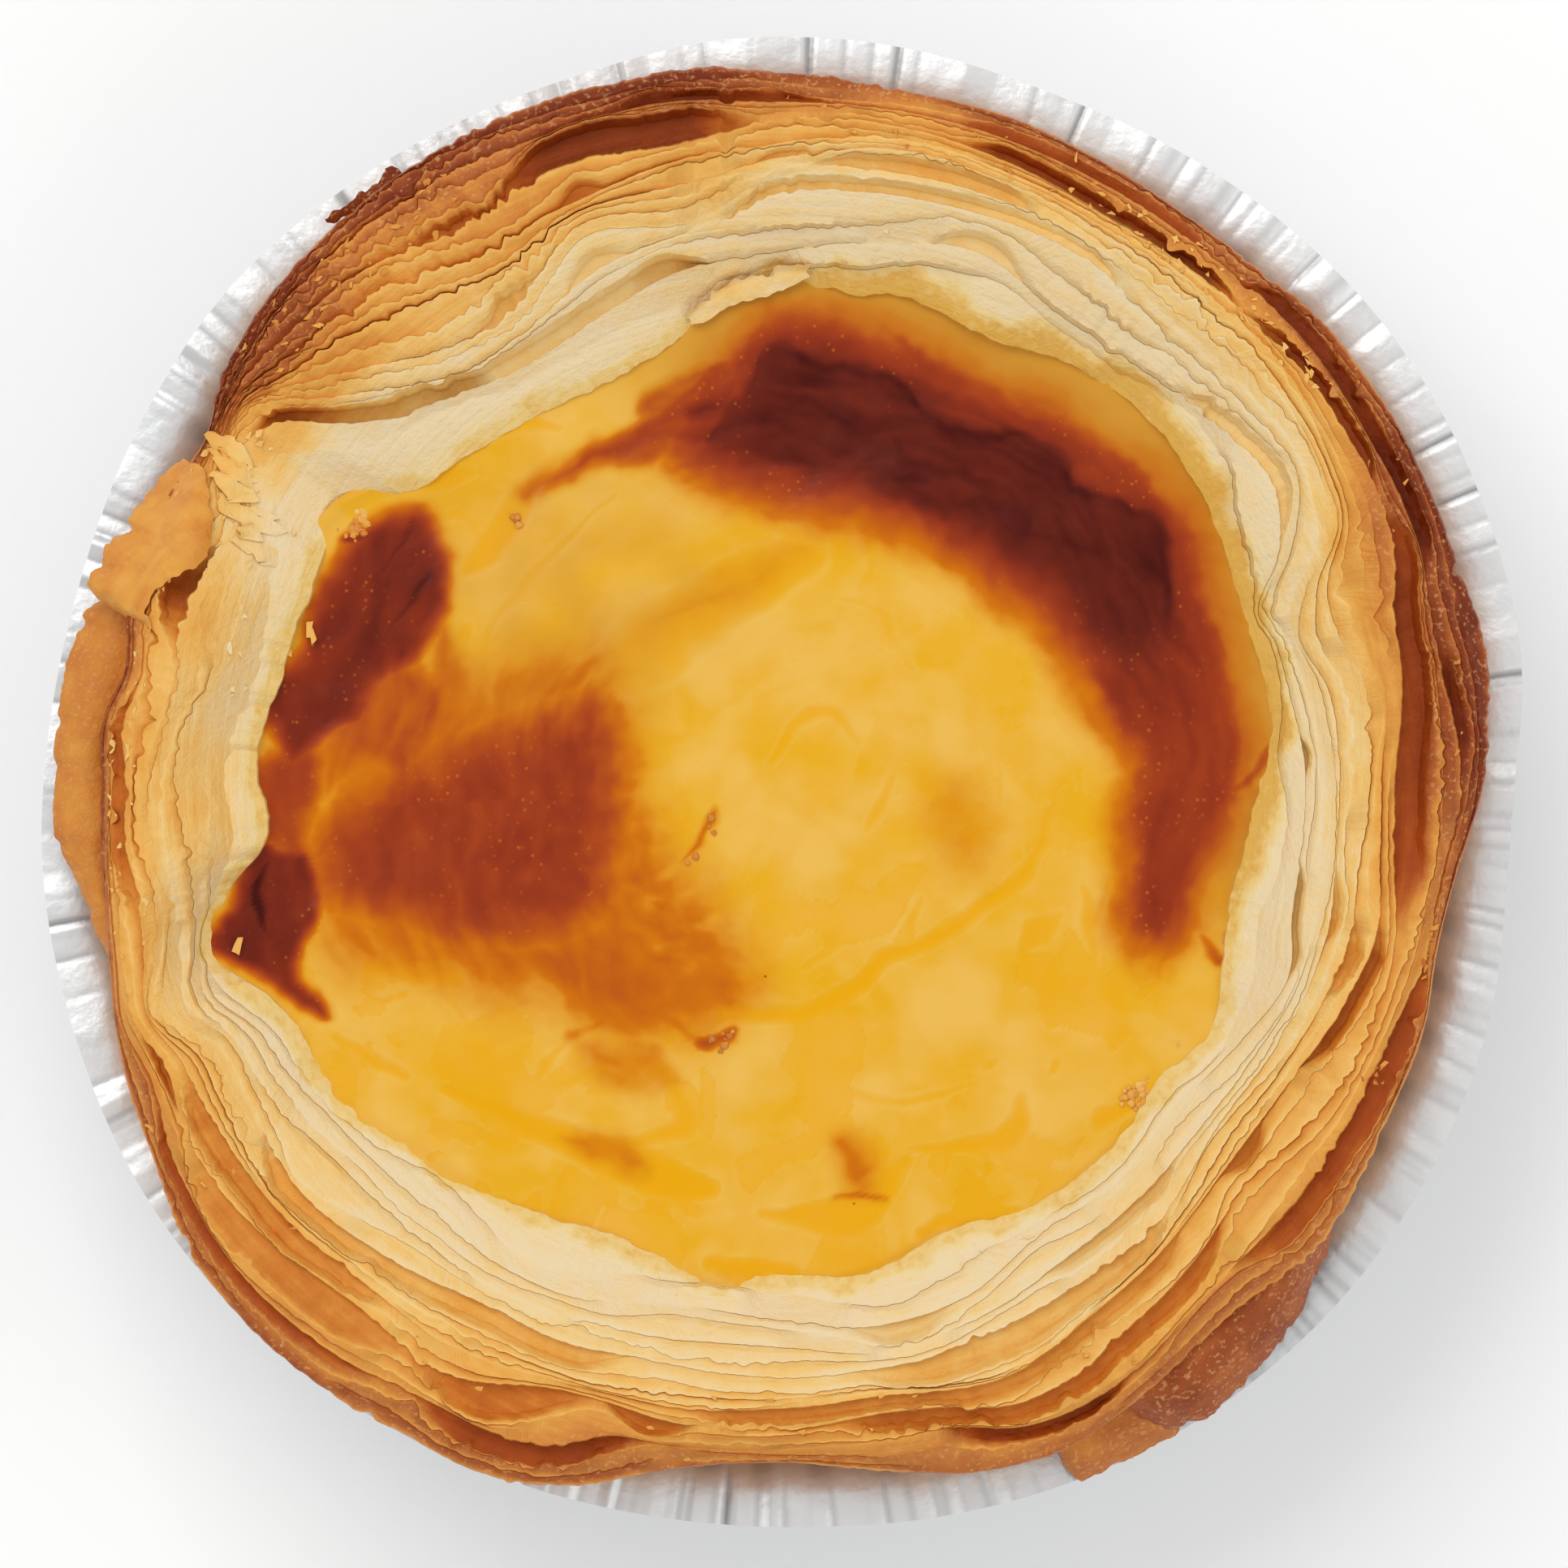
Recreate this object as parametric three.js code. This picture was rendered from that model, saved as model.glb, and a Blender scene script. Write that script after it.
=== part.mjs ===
// A Portuguese custard tart in its foil case: a crimped foil cup, a laminated puff-pastry shell whose rim is a
// stack of torn, standing layers, and the custard that fills the shell. Millimetres, +Z up. The origin is the
// centre of the foil's rim, dropped to the plane that the case stands on. Angles turn anticlockwise from +X.
import * as THREE from "three";

// Driving dimensions.
const FOIL = {
  height: 19,
  baseRadius: 26,
  cornerHeight: 1.6,
  cornerInset: 1.5,
  brimStart: 17.9,
  brimWidth: 3.9,
  wall: 0.4,
  pleatDepth: 0.34,
  rimPleat: 0.07, // what is left of the pleats at the brim's free edge
  pleatUneven: 0.4,
};
const SHELL = {
  floorUnder: 0.75,
  baseInset: 1.2,
  floorTop: 3.6,
  cavityFloorRadius: 20,
  rimStart: 21.9,
  crest: 27.6,
  outerEdge: 23.6,
  edgeRound: 0.6,
  bulgeDepth: 1.4,
  undercut: 0.5,
  edgeWaver: 0.5, // how far the outer edge rises and falls
  crestWaver: 0.1, // how far the layers' heights vary, as a share of their height
  endWaver: 0.02, // how far the layers' ends wander, as a share of the rim's width
};
const CUSTARD = { edge: 21.6, dome: 0.8, swell: 0.25, ringShares: [1, 0.9, 0.65, 0.35] };
const GAP = 0.35; // clearance between touching pieces
// Heights of the rings of points: close together round the foil's foot, then up the wall to the brim.
const FOIL_HEIGHTS = [0, 0.5, FOIL.cornerHeight, 7, 13, FOIL.brimStart, FOIL.height];
const SHELL_HEIGHTS = [SHELL.floorUnder, 2.2, 7, 12, FOIL.brimStart];
const SIDES = { foil: 144, pastry: 84 }; // the shell and the custard share their angles, so that they nest

// Radii in plan as [degrees, millimetres] stations: the foil's free edge, the pastry's outline, the custard's edge.
const FOIL_RIM = [
  [0, 39.6], [20, 40.5], [40, 40.6], [65, 40.0], [90, 40.2], [120, 39.8], [140, 40.0], [165, 39.6],
  [185, 40.0], [212, 40.8], [232, 40.8], [265, 40.2], [300, 40.9], [318, 40.9], [340, 40.2], [352, 39.4],
];
const OUTLINE = [
  [0, 37.4], [10, 38.1], [40, 37.9], [56, 37.1], [80, 37.6], [97, 38.5], [118, 38.6], [138, 37.7], [149, 36.0],
  [158, 37.6], [170, 39.2], [184, 39.2], [194, 37.5], [206, 38.7], [220, 40.5], [240, 40.3], [252, 39.4],
  [268, 36.5], [282, 37.6], [292, 39.6], [302, 40.6], [312, 40.0], [321, 37.9], [345, 36.2],
];
const CUSTARD_EDGE = [
  [0, 26.2], [10, 26.9], [30, 27.8], [60, 27.6], [78, 27.7], [98, 26.4], [112, 24.2], [130, 24.7], [148, 28.1],
  [172, 28.7], [186, 29.0], [196, 31.8], [205, 30.0], [225, 28.2], [250, 26.7], [275, 27.1], [290, 26.3],
  [320, 26.7], [332, 27.0], [344, 25.4],
];

// The rim's layers, from the custard out: where each layer ends across the rim's width, and its height as a share
// of the way from the rim's start to its crest.
const LAYERS = [
  { end: 0.16, height: 0.36 },
  { end: 0.33, height: 0.66 },
  { end: 0.5, height: 0.9 },
  { end: 0.67, height: 1.0 },
  { end: 0.84, height: 0.86 },
];
// The crevice outside each layer: its half-width as a share of the rim's width, its depth in millimetres, and how
// much higher, as a share of the rise, the next layer starts on its far side.
const CREVICE = { halfWidth: 0.035, depth: 1.1, step: 0.03 };
// Where the layers are pinched together the rim is low and narrow.
const PINCH = { angle: 149, halfWidth: 15, drop: 3.2, outerDrop: 1.6 };

const radians = THREE.MathUtils.degToRad;

// A smooth closed curve through [degrees, value] stations, as a function of the angle in degrees.
function around(stations) {
  const count = stations.length;
  const station = (i) => {
    const turns = Math.floor(i / count);
    const [angle, value] = stations[i - turns * count];
    return [angle + 360 * turns, value];
  };
  const slope = (i) => {
    const [a0, v0] = station(i - 1);
    const [a1, v1] = station(i + 1);
    return (v1 - v0) / (a1 - a0);
  };
  return (degrees) => {
    const angle = THREE.MathUtils.euclideanModulo(degrees - stations[0][0], 360) + stations[0][0];
    let i = 0;
    while (station(i + 1)[0] <= angle) i++;
    const [a0, v0] = station(i);
    const [a1, v1] = station(i + 1);
    const span = a1 - a0;
    const t = (angle - a0) / span;
    const rest = 1 - t;
    return (
      v0 * rest * rest * (1 + 2 * t) +
      v1 * t * t * (3 - 2 * t) +
      span * t * rest * (slope(i) * rest - slope(i + 1) * t)
    );
  };
}

const foilRim = around(FOIL_RIM);
const outline = around(OUTLINE);
const custardEdge = around(CUSTARD_EDGE);

// 1 at the pinch, falling smoothly to 0 on either side.
function pinch(degrees) {
  const away = Math.abs(THREE.MathUtils.euclideanModulo(degrees - PINCH.angle + 180, 360) - 180);
  return 1 - THREE.MathUtils.smoothstep(away, 0, PINCH.halfWidth);
}

// A gentle unevenness, within about -1 to 1.
function waver(degrees, phase) {
  const a = radians(degrees);
  return 0.5 * Math.sin(3 * a + phase) + 0.3 * Math.sin(7 * a + 2.3 * phase) + 0.2 * Math.sin(11 * a - phase);
}

// The foil's outer radius before pleating: a rounded foot, a straight flared wall, and a brim that lies nearly flat.
function foilFlare(degrees, z) {
  const neck = foilRim(degrees) - FOIL.brimWidth;
  if (z > FOIL.brimStart) {
    return THREE.MathUtils.mapLinear(z, FOIL.brimStart, FOIL.height, neck, foilRim(degrees));
  }
  const foot = FOIL.cornerInset * Math.max(0, 1 - z / FOIL.cornerHeight) ** 2;
  return THREE.MathUtils.lerp(FOIL.baseRadius, neck, z / FOIL.brimStart) - foot;
}

// Alternate pleats stand in and out of the wall, deeper towards the neck and uneven round it. The brim is flattened,
// and nearly smooth at its free edge.
function pleat(side, z) {
  const sign = side % 2 ? 1 : -1;
  const depth = z > FOIL.brimStart ? FOIL.rimPleat : FOIL.pleatDepth;
  const uneven = 1 - FOIL.pleatUneven * (1 - waver(side * 5, 1.7));
  return sign * depth * uneven * THREE.MathUtils.smoothstep(z, 0, FOIL.brimStart);
}

// The largest radius that keeps clear of the pleated foil wall at height z.
function insideFoil(degrees, z) {
  return foilFlare(degrees, z) - FOIL.wall - FOIL.pleatDepth - GAP;
}

// The distance between two points of a flat list of coordinates.
function apart(points, one, other) {
  const [p, q] = [one, other].map((i) => new THREE.Vector3().fromArray(points, 3 * i));
  return p.distanceTo(q);
}

// A closed solid from its profile: rings from the axis under it, up its outside and back to the axis on top.
// Each ring is a function of (degrees, side) giving [radius, height].
function ringSolid(sides, underHeight, rings, topHeight) {
  const points = [];
  const faces = [];
  for (const ring of rings) {
    for (let side = 0; side < sides; side++) {
      const degrees = (360 * side) / sides;
      const [radius, z] = ring(degrees, side);
      const a = radians(degrees);
      points.push(radius * Math.cos(a), radius * Math.sin(a), z);
    }
  }
  const under = rings.length * sides;
  const top = under + 1;
  points.push(0, 0, underHeight, 0, 0, topHeight);
  const last = (rings.length - 1) * sides;
  for (let side = 0; side < sides; side++) {
    const next = (side + 1) % sides;
    faces.push(under, next, side);
    faces.push(last + side, last + next, top);
    for (let low = 0; low < last; low += sides) {
      const high = low + sides;
      const [a, b, c, d] = [low + side, low + next, high + next, high + side];
      // The shorter diagonal, so that two walls that nest are faceted alike.
      if (apart(points, a, c) < apart(points, b, d)) faces.push(a, b, c, a, c, d);
      else faces.push(a, b, d, b, c, d);
    }
  }
  const geometry = new THREE.BufferGeometry();
  geometry.setAttribute("position", new THREE.Float32BufferAttribute(points, 3));
  geometry.setIndex(faces);
  return geometry;
}

// Up the outside, over the cut edge, and down the inside, which is moved in along the wall and up off the brim.
function foilCase() {
  const { wall, brimStart, height } = FOIL;
  const outside = FOIL_HEIGHTS.map((z) => (degrees, side) => [foilFlare(degrees, z) + pleat(side, z), z]);
  const edge = (degrees, side) => [foilFlare(degrees, height) + pleat(side, height), height + wall];
  const upTheWall = FOIL_HEIGHTS.filter((z) => z >= FOIL.cornerHeight && z < height);
  const inside = upTheWall.reverse().map((z) => (degrees, side) => [
    foilFlare(degrees, z) + pleat(side, z) - wall,
    z === brimStart ? z + wall : z,
  ]);
  const floor = (degrees, side) => [foilFlare(degrees, wall) + pleat(side, 0) - wall, wall];
  return ringSolid(SIDES.foil, 0, [...outside, edge, ...inside, floor], wall);
}

// The point at a share of the rim's width from the custard's edge to the outline, at a given height.
function across(degrees, share, z) {
  return [THREE.MathUtils.lerp(custardEdge(degrees), outline(degrees), share), z];
}

// Height of the rim's layers at an angle: full height all round, low at the pinch.
function rimHeight(degrees, share) {
  const full = SHELL.crest - SHELL.rimStart - PINCH.drop * pinch(degrees);
  return SHELL.rimStart + share * full * (1 + SHELL.crestWaver * waver(degrees, 0.6 + share));
}

// Each layer rises to its torn end, and a crevice parts it from the next one out.
function layerRings() {
  const rings = [(degrees) => across(degrees, 0, SHELL.rimStart)];
  for (const { end, height } of LAYERS) {
    const shift = (degrees) => end + SHELL.endWaver * waver(degrees, 9 * end);
    rings.push((degrees) => across(degrees, shift(degrees), rimHeight(degrees, height)));
    rings.push((degrees) =>
      across(degrees, shift(degrees) + CREVICE.halfWidth, rimHeight(degrees, height) - CREVICE.depth),
    );
    rings.push((degrees) =>
      across(degrees, shift(degrees) + 2 * CREVICE.halfWidth, rimHeight(degrees, height + CREVICE.step)),
    );
  }
  return rings.reverse();
}

// The shell's outer wall fills the foil up to the brim, passes over the brim, and bulges to the outline above it.
function wallRings() {
  const rings = SHELL_HEIGHTS.map((z) => (degrees) => {
    const inset = z === SHELL.floorUnder ? SHELL.baseInset : 0;
    return [insideFoil(degrees, z) - inset, z];
  });
  const overBrim = FOIL.height + FOIL.wall + GAP;
  const edge = (degrees) =>
    SHELL.outerEdge - PINCH.outerDrop * pinch(degrees) + SHELL.edgeWaver * waver(degrees, 2);
  rings.push((degrees) => [insideFoil(degrees, FOIL.brimStart), overBrim]);
  rings.push((degrees) => [outline(degrees) - SHELL.undercut, overBrim + SHELL.undercut]);
  rings.push((degrees) => [outline(degrees), edge(degrees) - SHELL.bulgeDepth]);
  rings.push((degrees) => [outline(degrees), edge(degrees) + SHELL.edgeRound]);
  return rings;
}

function pastryShell() {
  const cavity = [(degrees) => [SHELL.cavityFloorRadius, SHELL.floorTop]];
  return ringSolid(
    SIDES.pastry,
    SHELL.floorUnder,
    [...wallRings(), ...layerRings(), ...cavity],
    SHELL.floorTop,
  );
}

// The custard fills the cavity up to the pastry's lip and rises a little towards its middle.
function custardFilling() {
  const bottom = SHELL.floorTop + GAP;
  const surface = CUSTARD.ringShares.map((share) => (degrees) => [
    share * (custardEdge(degrees) - GAP),
    CUSTARD.edge + CUSTARD.dome * (1 - share ** 2) + CUSTARD.swell * (1 - share) * share * waver(degrees, 3),
  ]);
  const foot = () => [SHELL.cavityFloorRadius - GAP, bottom];
  return ringSolid(SIDES.pastry, bottom, [foot, ...surface], CUSTARD.edge + CUSTARD.dome);
}

function piece(name, geometry, look) {
  const mesh = new THREE.Mesh(geometry, new THREE.MeshStandardMaterial(look));
  mesh.name = name;
  return mesh;
}

const tart = new THREE.Group();
tart.add(
  piece("foil_case", foilCase(), { color: 0xd9d9d6, roughness: 0.35, metalness: 0.9 }),
  piece("pastry_shell", pastryShell(), { color: 0xe0a860, roughness: 0.75, metalness: 0 }),
  piece("custard", custardFilling(), { color: 0xebb344, roughness: 0.25, metalness: 0 }),
);

export default tart;
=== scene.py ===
"""The looks of a Portuguese custard tart in its foil case.

Lengths are in millimetres, as in the CAD model, until build_mesh turns them into metres. Angles are in
degrees, anticlockwise from +X. The pastry's rim is a nest of thin torn sheets. Each one is a closed ring
whose inner face rises from the gap behind the sheet before it to its own free edge.
"""

import math

import bmesh
import bpy
import numpy as np
from mathutils import Euler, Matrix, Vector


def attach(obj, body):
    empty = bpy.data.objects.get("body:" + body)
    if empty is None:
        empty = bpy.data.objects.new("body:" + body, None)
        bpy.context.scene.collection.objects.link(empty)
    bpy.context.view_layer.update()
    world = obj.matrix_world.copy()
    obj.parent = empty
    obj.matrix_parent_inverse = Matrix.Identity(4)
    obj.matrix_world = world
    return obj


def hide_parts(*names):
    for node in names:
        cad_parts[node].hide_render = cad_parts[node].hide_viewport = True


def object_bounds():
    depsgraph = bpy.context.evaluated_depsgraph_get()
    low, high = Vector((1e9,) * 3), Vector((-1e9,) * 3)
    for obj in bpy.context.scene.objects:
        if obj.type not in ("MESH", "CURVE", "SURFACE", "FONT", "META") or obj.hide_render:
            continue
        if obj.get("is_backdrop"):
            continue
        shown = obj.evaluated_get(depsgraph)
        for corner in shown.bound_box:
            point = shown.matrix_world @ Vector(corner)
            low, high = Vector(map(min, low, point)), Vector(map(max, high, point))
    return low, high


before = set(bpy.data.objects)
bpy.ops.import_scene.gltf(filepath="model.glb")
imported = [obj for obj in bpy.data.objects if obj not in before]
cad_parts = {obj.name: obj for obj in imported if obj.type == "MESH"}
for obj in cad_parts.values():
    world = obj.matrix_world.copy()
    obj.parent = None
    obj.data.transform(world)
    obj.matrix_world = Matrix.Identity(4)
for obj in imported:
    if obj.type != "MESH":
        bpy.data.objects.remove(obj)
cad_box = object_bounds()

MM = 0.001

# The camera looks straight down from far off, and its frame is this wide at the foil's rim.
FRAME_WIDTH = 84.46
FRAME_CENTRE = (0.04, -0.04)
CAMERA_DISTANCE = 1100
SENSOR = 36
FLOOR_HALF_WIDTH = 2000

# Heights and radii that the looks share with the CAD model.
FOIL_RIM_HEIGHT = 19
FOIL_BRIM_START = 17.9
FOIL_BRIM_WIDTH = 3.9
FOIL_BASE_RADIUS = 26
FLOOR_UNDER = 0.75
LIP_HEIGHT = 21.7
CREST = 27.3
CUSTARD_DOME = 0.7

# Outlines as (angle, radius), as in the CAD model.
FOIL_RIM = [
    (0, 39.4), (8, 40.2), (22, 40.6), (38, 40.7), (50, 40.4), (60, 40.1), (67, 39.9), (85, 40.2),
    (97, 40.1), (103, 39.8), (125, 39.8), (139, 40), (150, 39.7), (165, 39.4), (178, 39.75), (185, 40.1),
    (200, 40.5), (212, 40.9), (228, 40.9), (240, 40.6), (250, 40.3), (272, 40.1), (285, 40.5), (300, 40.9),
    (316, 40.95), (330, 40.6), (340, 40.2), (354, 39.3),
]
CUSTARD_EDGE = [
    (0, 26.2), (9, 27), (20, 26.9), (30, 27.6), (45, 28.3), (55, 27.9), (65, 26.9), (77, 27.5), (83, 27.1),
    (88, 27.5), (95, 27), (105, 24.8), (112, 24.2), (125, 24.4), (135, 25.1), (140, 25.6), (147, 27.8),
    (160, 28), (168, 28.2), (178, 28.9), (187, 28.8), (191, 31), (196, 32.6), (203, 30.3), (216, 29.6),
    (225, 28.2), (235, 27.6), (250, 26.6), (260, 27.1), (270, 27), (280, 27.3), (290, 26.2), (300, 26.9),
    (315, 26.8), (322, 26.3), (330, 27.1), (338, 26.1), (345, 25.4), (355, 25.8),
]

# Cross-sections of the rim: at each angle, the radius of each main sheet's free edge, from the custard out.
SECTIONS = {
    0: (28, 29, 29.8, 31.4, 32, 32.7, 36.2, 37.4),
    10: (27.6, 28.5, 29.6, 31.5, 32.7, 33.6, 35.7, 38.1),
    16: (27.5, 28.1, 28.8, 30.7, 32.3, 33.9, 35.9, 38),
    20: (27.1, 27.9, 29.7, 31, 32.9, 34.9, 36.2, 37.9),
    25: (29.3, 30.1, 32.4, 33, 34, 35.3, 36.3, 37.9),
    30: (30.6, 31.9, 33.1, 33.6, 34.3, 35.5, 36.3, 38),
    40: (30.1, 31.8, 33.3, 34.1, 34.8, 35.4, 36.5, 37.9),
    50: (29.3, 31.6, 32.9, 34, 34.6, 35.1, 36.3, 37.3),
    60: (29.2, 32.4, 33.2, 34.1, 34.6, 34.9, 36.3, 37.3),
    70: (30.3, 32.2, 33.3, 34.3, 34.8, 35.3, 36.4, 37.6),
    80: (29.4, 32, 33.2, 34.4, 35, 35.7, 36.5, 37.6),
    90: (28.6, 31.6, 32.9, 33.5, 34.3, 35.5, 36.4, 37.9),
    100: (28.1, 30, 31.3, 32.5, 33.7, 34.6, 36.9, 38.6),
    110: (27, 29.2, 31.8, 32.4, 33, 34.9, 36.9, 38.6),
    120: (26.3, 27.9, 29.2, 31.3, 32.7, 34.3, 37.2, 38.5),
    130: (27.2, 28.3, 29.9, 32.7, 34.2, 35.5, 37.2, 38.2),
    140: (30, 32.2, 33.4, 34.3, 35, 35.9, 36.9, 37.6),
    145: (33.5, 35, 35.2, 35.5, 35.8, 36.1, 36.4, 37),
    149: (34.2, 34.6, 34.9, 35.1, 35.4, 35.6, 35.9, 36.1),
    155: (30.6, 31.8, 33, 34.3, 34.9, 35.3, 35.7, 36.4),
    160: (30.2, 31.6, 33, 35, 35.3, 35.6, 35.9, 36.3),
    165: (29.8, 31.4, 33.4, 35.1, 35.3, 35.6, 35.9, 36.3),
    170: (30, 31.3, 32.8, 34.4, 34.8, 35.2, 35.4, 35.7),
    175: (30.4, 32.3, 33.3, 34.4, 35.4, 36, 36.2, 36.5),
    180: (30.6, 32.6, 33.9, 34.6, 35.1, 36, 36.2, 36.4),
    185: (30.8, 32.2, 34.1, 34.8, 35.3, 36.1, 36.3, 36.6),
    190: (31.2, 32.2, 33.6, 34.2, 35, 36.2, 36.5, 36.8),
    195: (32, 32.7, 34.1, 34.8, 35.4, 36.6, 36.9, 37.3),
    200: (32.6, 33.5, 35, 36, 36.2, 37, 37.6, 38),
    205: (31.2, 32.4, 33.4, 34.5, 35.4, 36.3, 37.3, 38.6),
    210: (30.8, 32.4, 33.3, 34.6, 35.4, 37, 38, 39.1),
    220: (30, 31.4, 33.9, 35, 35.4, 36.9, 39, 40.6),
    230: (29.7, 31.2, 33, 34.4, 34.9, 36.1, 38.9, 40.7),
    240: (30, 31.2, 32.2, 34.1, 34.9, 36.4, 38.1, 40.4),
    250: (29.5, 30.8, 32.1, 33.7, 34.1, 34.5, 37.6, 39.8),
    255: (28.8, 30.5, 31.8, 33.6, 33.9, 34.4, 36.1, 38.7),
    260: (28.5, 30.3, 31.7, 33.2, 33.9, 34.7, 35.9, 37.3),
    270: (28.8, 30.2, 31.8, 32.9, 33.4, 34.6, 35.7, 36.3),
    280: (29.5, 30.9, 31.7, 32.8, 33.2, 34.1, 35.6, 37.4),
    285: (29.5, 30.7, 31.7, 33.3, 33.6, 34.5, 35.6, 38.1),
    290: (29.2, 30.5, 31.5, 33.6, 33.9, 35.4, 36.6, 38.6),
    300: (27.8, 29.7, 31.1, 32.6, 32.9, 34.8, 36.7, 38),
    310: (27.9, 29.3, 31, 31.8, 32.1, 33.7, 35.4, 37.1),
    320: (27.3, 29, 29.7, 30.6, 31.3, 32.8, 35.3, 37.8),
    330: (28.1, 29.2, 29.9, 30.7, 31.5, 33.7, 35.2, 37),
    340: (28.9, 29.6, 30.2, 31.3, 32.4, 34, 35.2, 36.6),
    345: (28.2, 29.4, 30.2, 31.4, 32.7, 33.8, 35.6, 36.1),
    352: (28, 29.1, 29.9, 31.1, 32.2, 33, 35.6, 36.3),
}

# Open gaps outside a main sheet's edge: sheet, from and to angle, width and depth.
GAPS = [
    (0, 98, 147, 0.9, 0.5), (0, 125, 147, 0.2, 1.1), (0, 97, 108, 0.1, 1), (0, 338, 352, 0.35, 0.82),
    (0, 276, 289, 0.9, 0.4), (0, 63, 76, 0.8, 0.35), (0, 25, 46, 0.7, 0.35), (0, 0, 6, 0.25, 0.82),
    (1, 55, 97, 0.5, 0.35), (1, 105, 115, 0.8, 0.4), (1, 297, 317, 0.5, 0.4),
    (2, 65, 88, 0.7, 0.4), (2, 115, 125, 0.9, 0.5), (2, 156, 168, 1.8, 1.5), (2, 213, 256, 0.95, 0.45),
    (2, 276, 313, 1.5, 0.5), (2, 342, 352, 0.4, 0.54),
    (3, 86, 94, 0.3, 0.35), (3, 337, 348, 0.8, 0.68),
    (4, 106, 112, 0.8, 0.82), (4, 171, 193, 0.75, 0.85), (4, 205, 234, 1.1, 0.5), (4, 261, 313, 0.75, 0.55),
    (4, 317, 326, 0.8, 0.82), (4, 330, 348, 0.6, 1.02),
    (5, 346, 386, 1.4, 1), (5, 386, 406, 0.5, 1.02), (5, 46, 75, 0.5, 1.29), (5, 91, 118, 2, 1.5),
    (5, 116, 126, 0.5, 0.88), (5, 201, 209, 0.3, 0.82), (5, 210, 238, 1.7, 0.35), (5, 236, 254, 2.1, 0.9),
    (5, 253, 263, 0.8, 0.9), (5, 274, 316, 0.9, 0.85),
    (6, 0, 13, 0.4, 1.02), (6, 17, 49, 0.6, 1.22), (6, 50, 76, 0.4, 0.6), (6, 86, 105, 0.35, 0.95),
    (6, 207, 236, 0.4, 0.6), (6, 238, 259, 1, 1), (6, 283, 301, 0.5, 1.16), (6, 312, 346, 1.1, 1),
]

# Main sheets from the custard out: how many finer sheets lie in the band before its edge, how torn that edge
# is, and how brown it is baked (0 white dough to 1 burnt).
SHEETS = [
    (1, 0.12, 0.03), (1, 0.16, 0.09), (1, 0.22, 0.15), (1, 0.3, 0.24),
    (1, 0.36, 0.31), (1, 0.4, 0.38), (2, 0.36, 0.52), (2, 0.34, 0.74),
]
SHEET_THICKNESS = 0.1
FIRST_BAKE = SHEETS[0][2]
# The plain gap outside a main sheet and outside a finer one, with its depth among the innermost main sheets.
PLAIN_GAP = {"width": 0.05, "depth": 0.2, "innermost": 0.07}
FINE_GAP = {"width": 0.02, "depth": 0.11, "innermost": 0.0495}
INNERMOST = 3
# Stretches, from and to angle: where the innermost sheet is one smooth lobe, where no sheet is split finer,
# where all sheets stand apart, and where the innermost ones are one piece.
SMOOTH_LOBE = (94, 152)
UNSPLIT = (152, 204)
SPREAD = (97, 150)
MERGED = (151, 171)
# Where the edges are more ragged than elsewhere: from and to angle, and how much more.
RAGGED = [(36, 62, 0.9), (138, 196, 1), (205, 218, 0.6), (80, 100, 0.4), (112, 148, 0.8)]
# The rim is pinched together round this angle.
PINCH_ANGLE = 149
PINCH_HALF_WIDTH = 15
PINCH_DROP = 3

# Points round a ring, and their angles.
RING_STEPS = 1440
angles = np.arange(RING_STEPS) * 360 / RING_STEPS
# Edges sharper than this aren't smoothed.
SHARP_ANGLE = math.radians(42)


# ---- curves and noise


def around(stations, degrees):
    """A smooth closed curve through (degrees, value) stations, read at an array of angles."""
    at, value = (np.array(column, float) for column in zip(*stations))
    at = np.concatenate([at - 360, at, at + 360])
    value = np.tile(value, 3)
    slope = np.gradient(value, at)
    i = np.searchsorted(at, degrees, side="right") - 1
    span = at[i + 1] - at[i]
    t = (degrees - at[i]) / span
    rest = 1 - t
    level = value[i] * rest**2 * (1 + 2 * t) + value[i + 1] * t**2 * (3 - 2 * t)
    return level + span * t * rest * (slope[i] * rest - slope[i + 1] * t)


def smooth(low, high, x):
    """0 below low, 1 above high, and an S-curve between."""
    t = np.clip((x - low) / (high - low), 0, 1)
    return t * t * (3 - 2 * t)


def turn_between(degrees, start, end, soft=3):
    """1 from the start angle to the end angle, falling to 0 over a soft range inside each end."""
    past = (degrees - start) % 360
    width = (end - start) % 360
    soft = min(soft, width / 2)
    return smooth(0, soft, past) * (1 - smooth(width - soft, width, past)) * (past <= width)


def lattice(ix, iy, seed):
    """A fixed random number within -1 to 1 for each cell of a grid."""
    h = (ix * 374761393 + iy * 668265263 + seed * 974711) & 0xFFFFFFFF
    h = ((h ^ (h >> 13)) * 1274126177) & 0xFFFFFFFF
    return ((h ^ (h >> 16)) & 0xFFFF) / 32767.5 - 1


def noise(x, y, size, seed):
    """Gradient noise within about -1 to 1, with bumps of the given size."""
    x = x / size
    y = y / size
    ix = np.floor(x).astype(np.int64)
    iy = np.floor(y).astype(np.int64)
    fx = x - ix
    fy = y - iy

    def corner(cx, cy):
        turn = lattice(ix + cx, iy + cy, seed) * math.pi
        return np.cos(turn) * (fx - cx) + np.sin(turn) * (fy - cy)

    u = smooth(0, 1, fx)
    v = smooth(0, 1, fy)
    near = corner(0, 0) * (1 - u) + corner(1, 0) * u
    far = corner(0, 1) * (1 - u) + corner(1, 1) * u
    return 1.5 * (near * (1 - v) + far * v)


def rough(x, y, size, seed, octaves=3):
    """Noise with finer and finer detail."""
    return sum(noise(x, y, size / 2**i, seed + 31 * i) / 2**i for i in range(octaves)) / 1.5


def polar(radius, degrees):
    turn = np.radians(degrees)
    return radius * np.cos(turn), radius * np.sin(turn)


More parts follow.
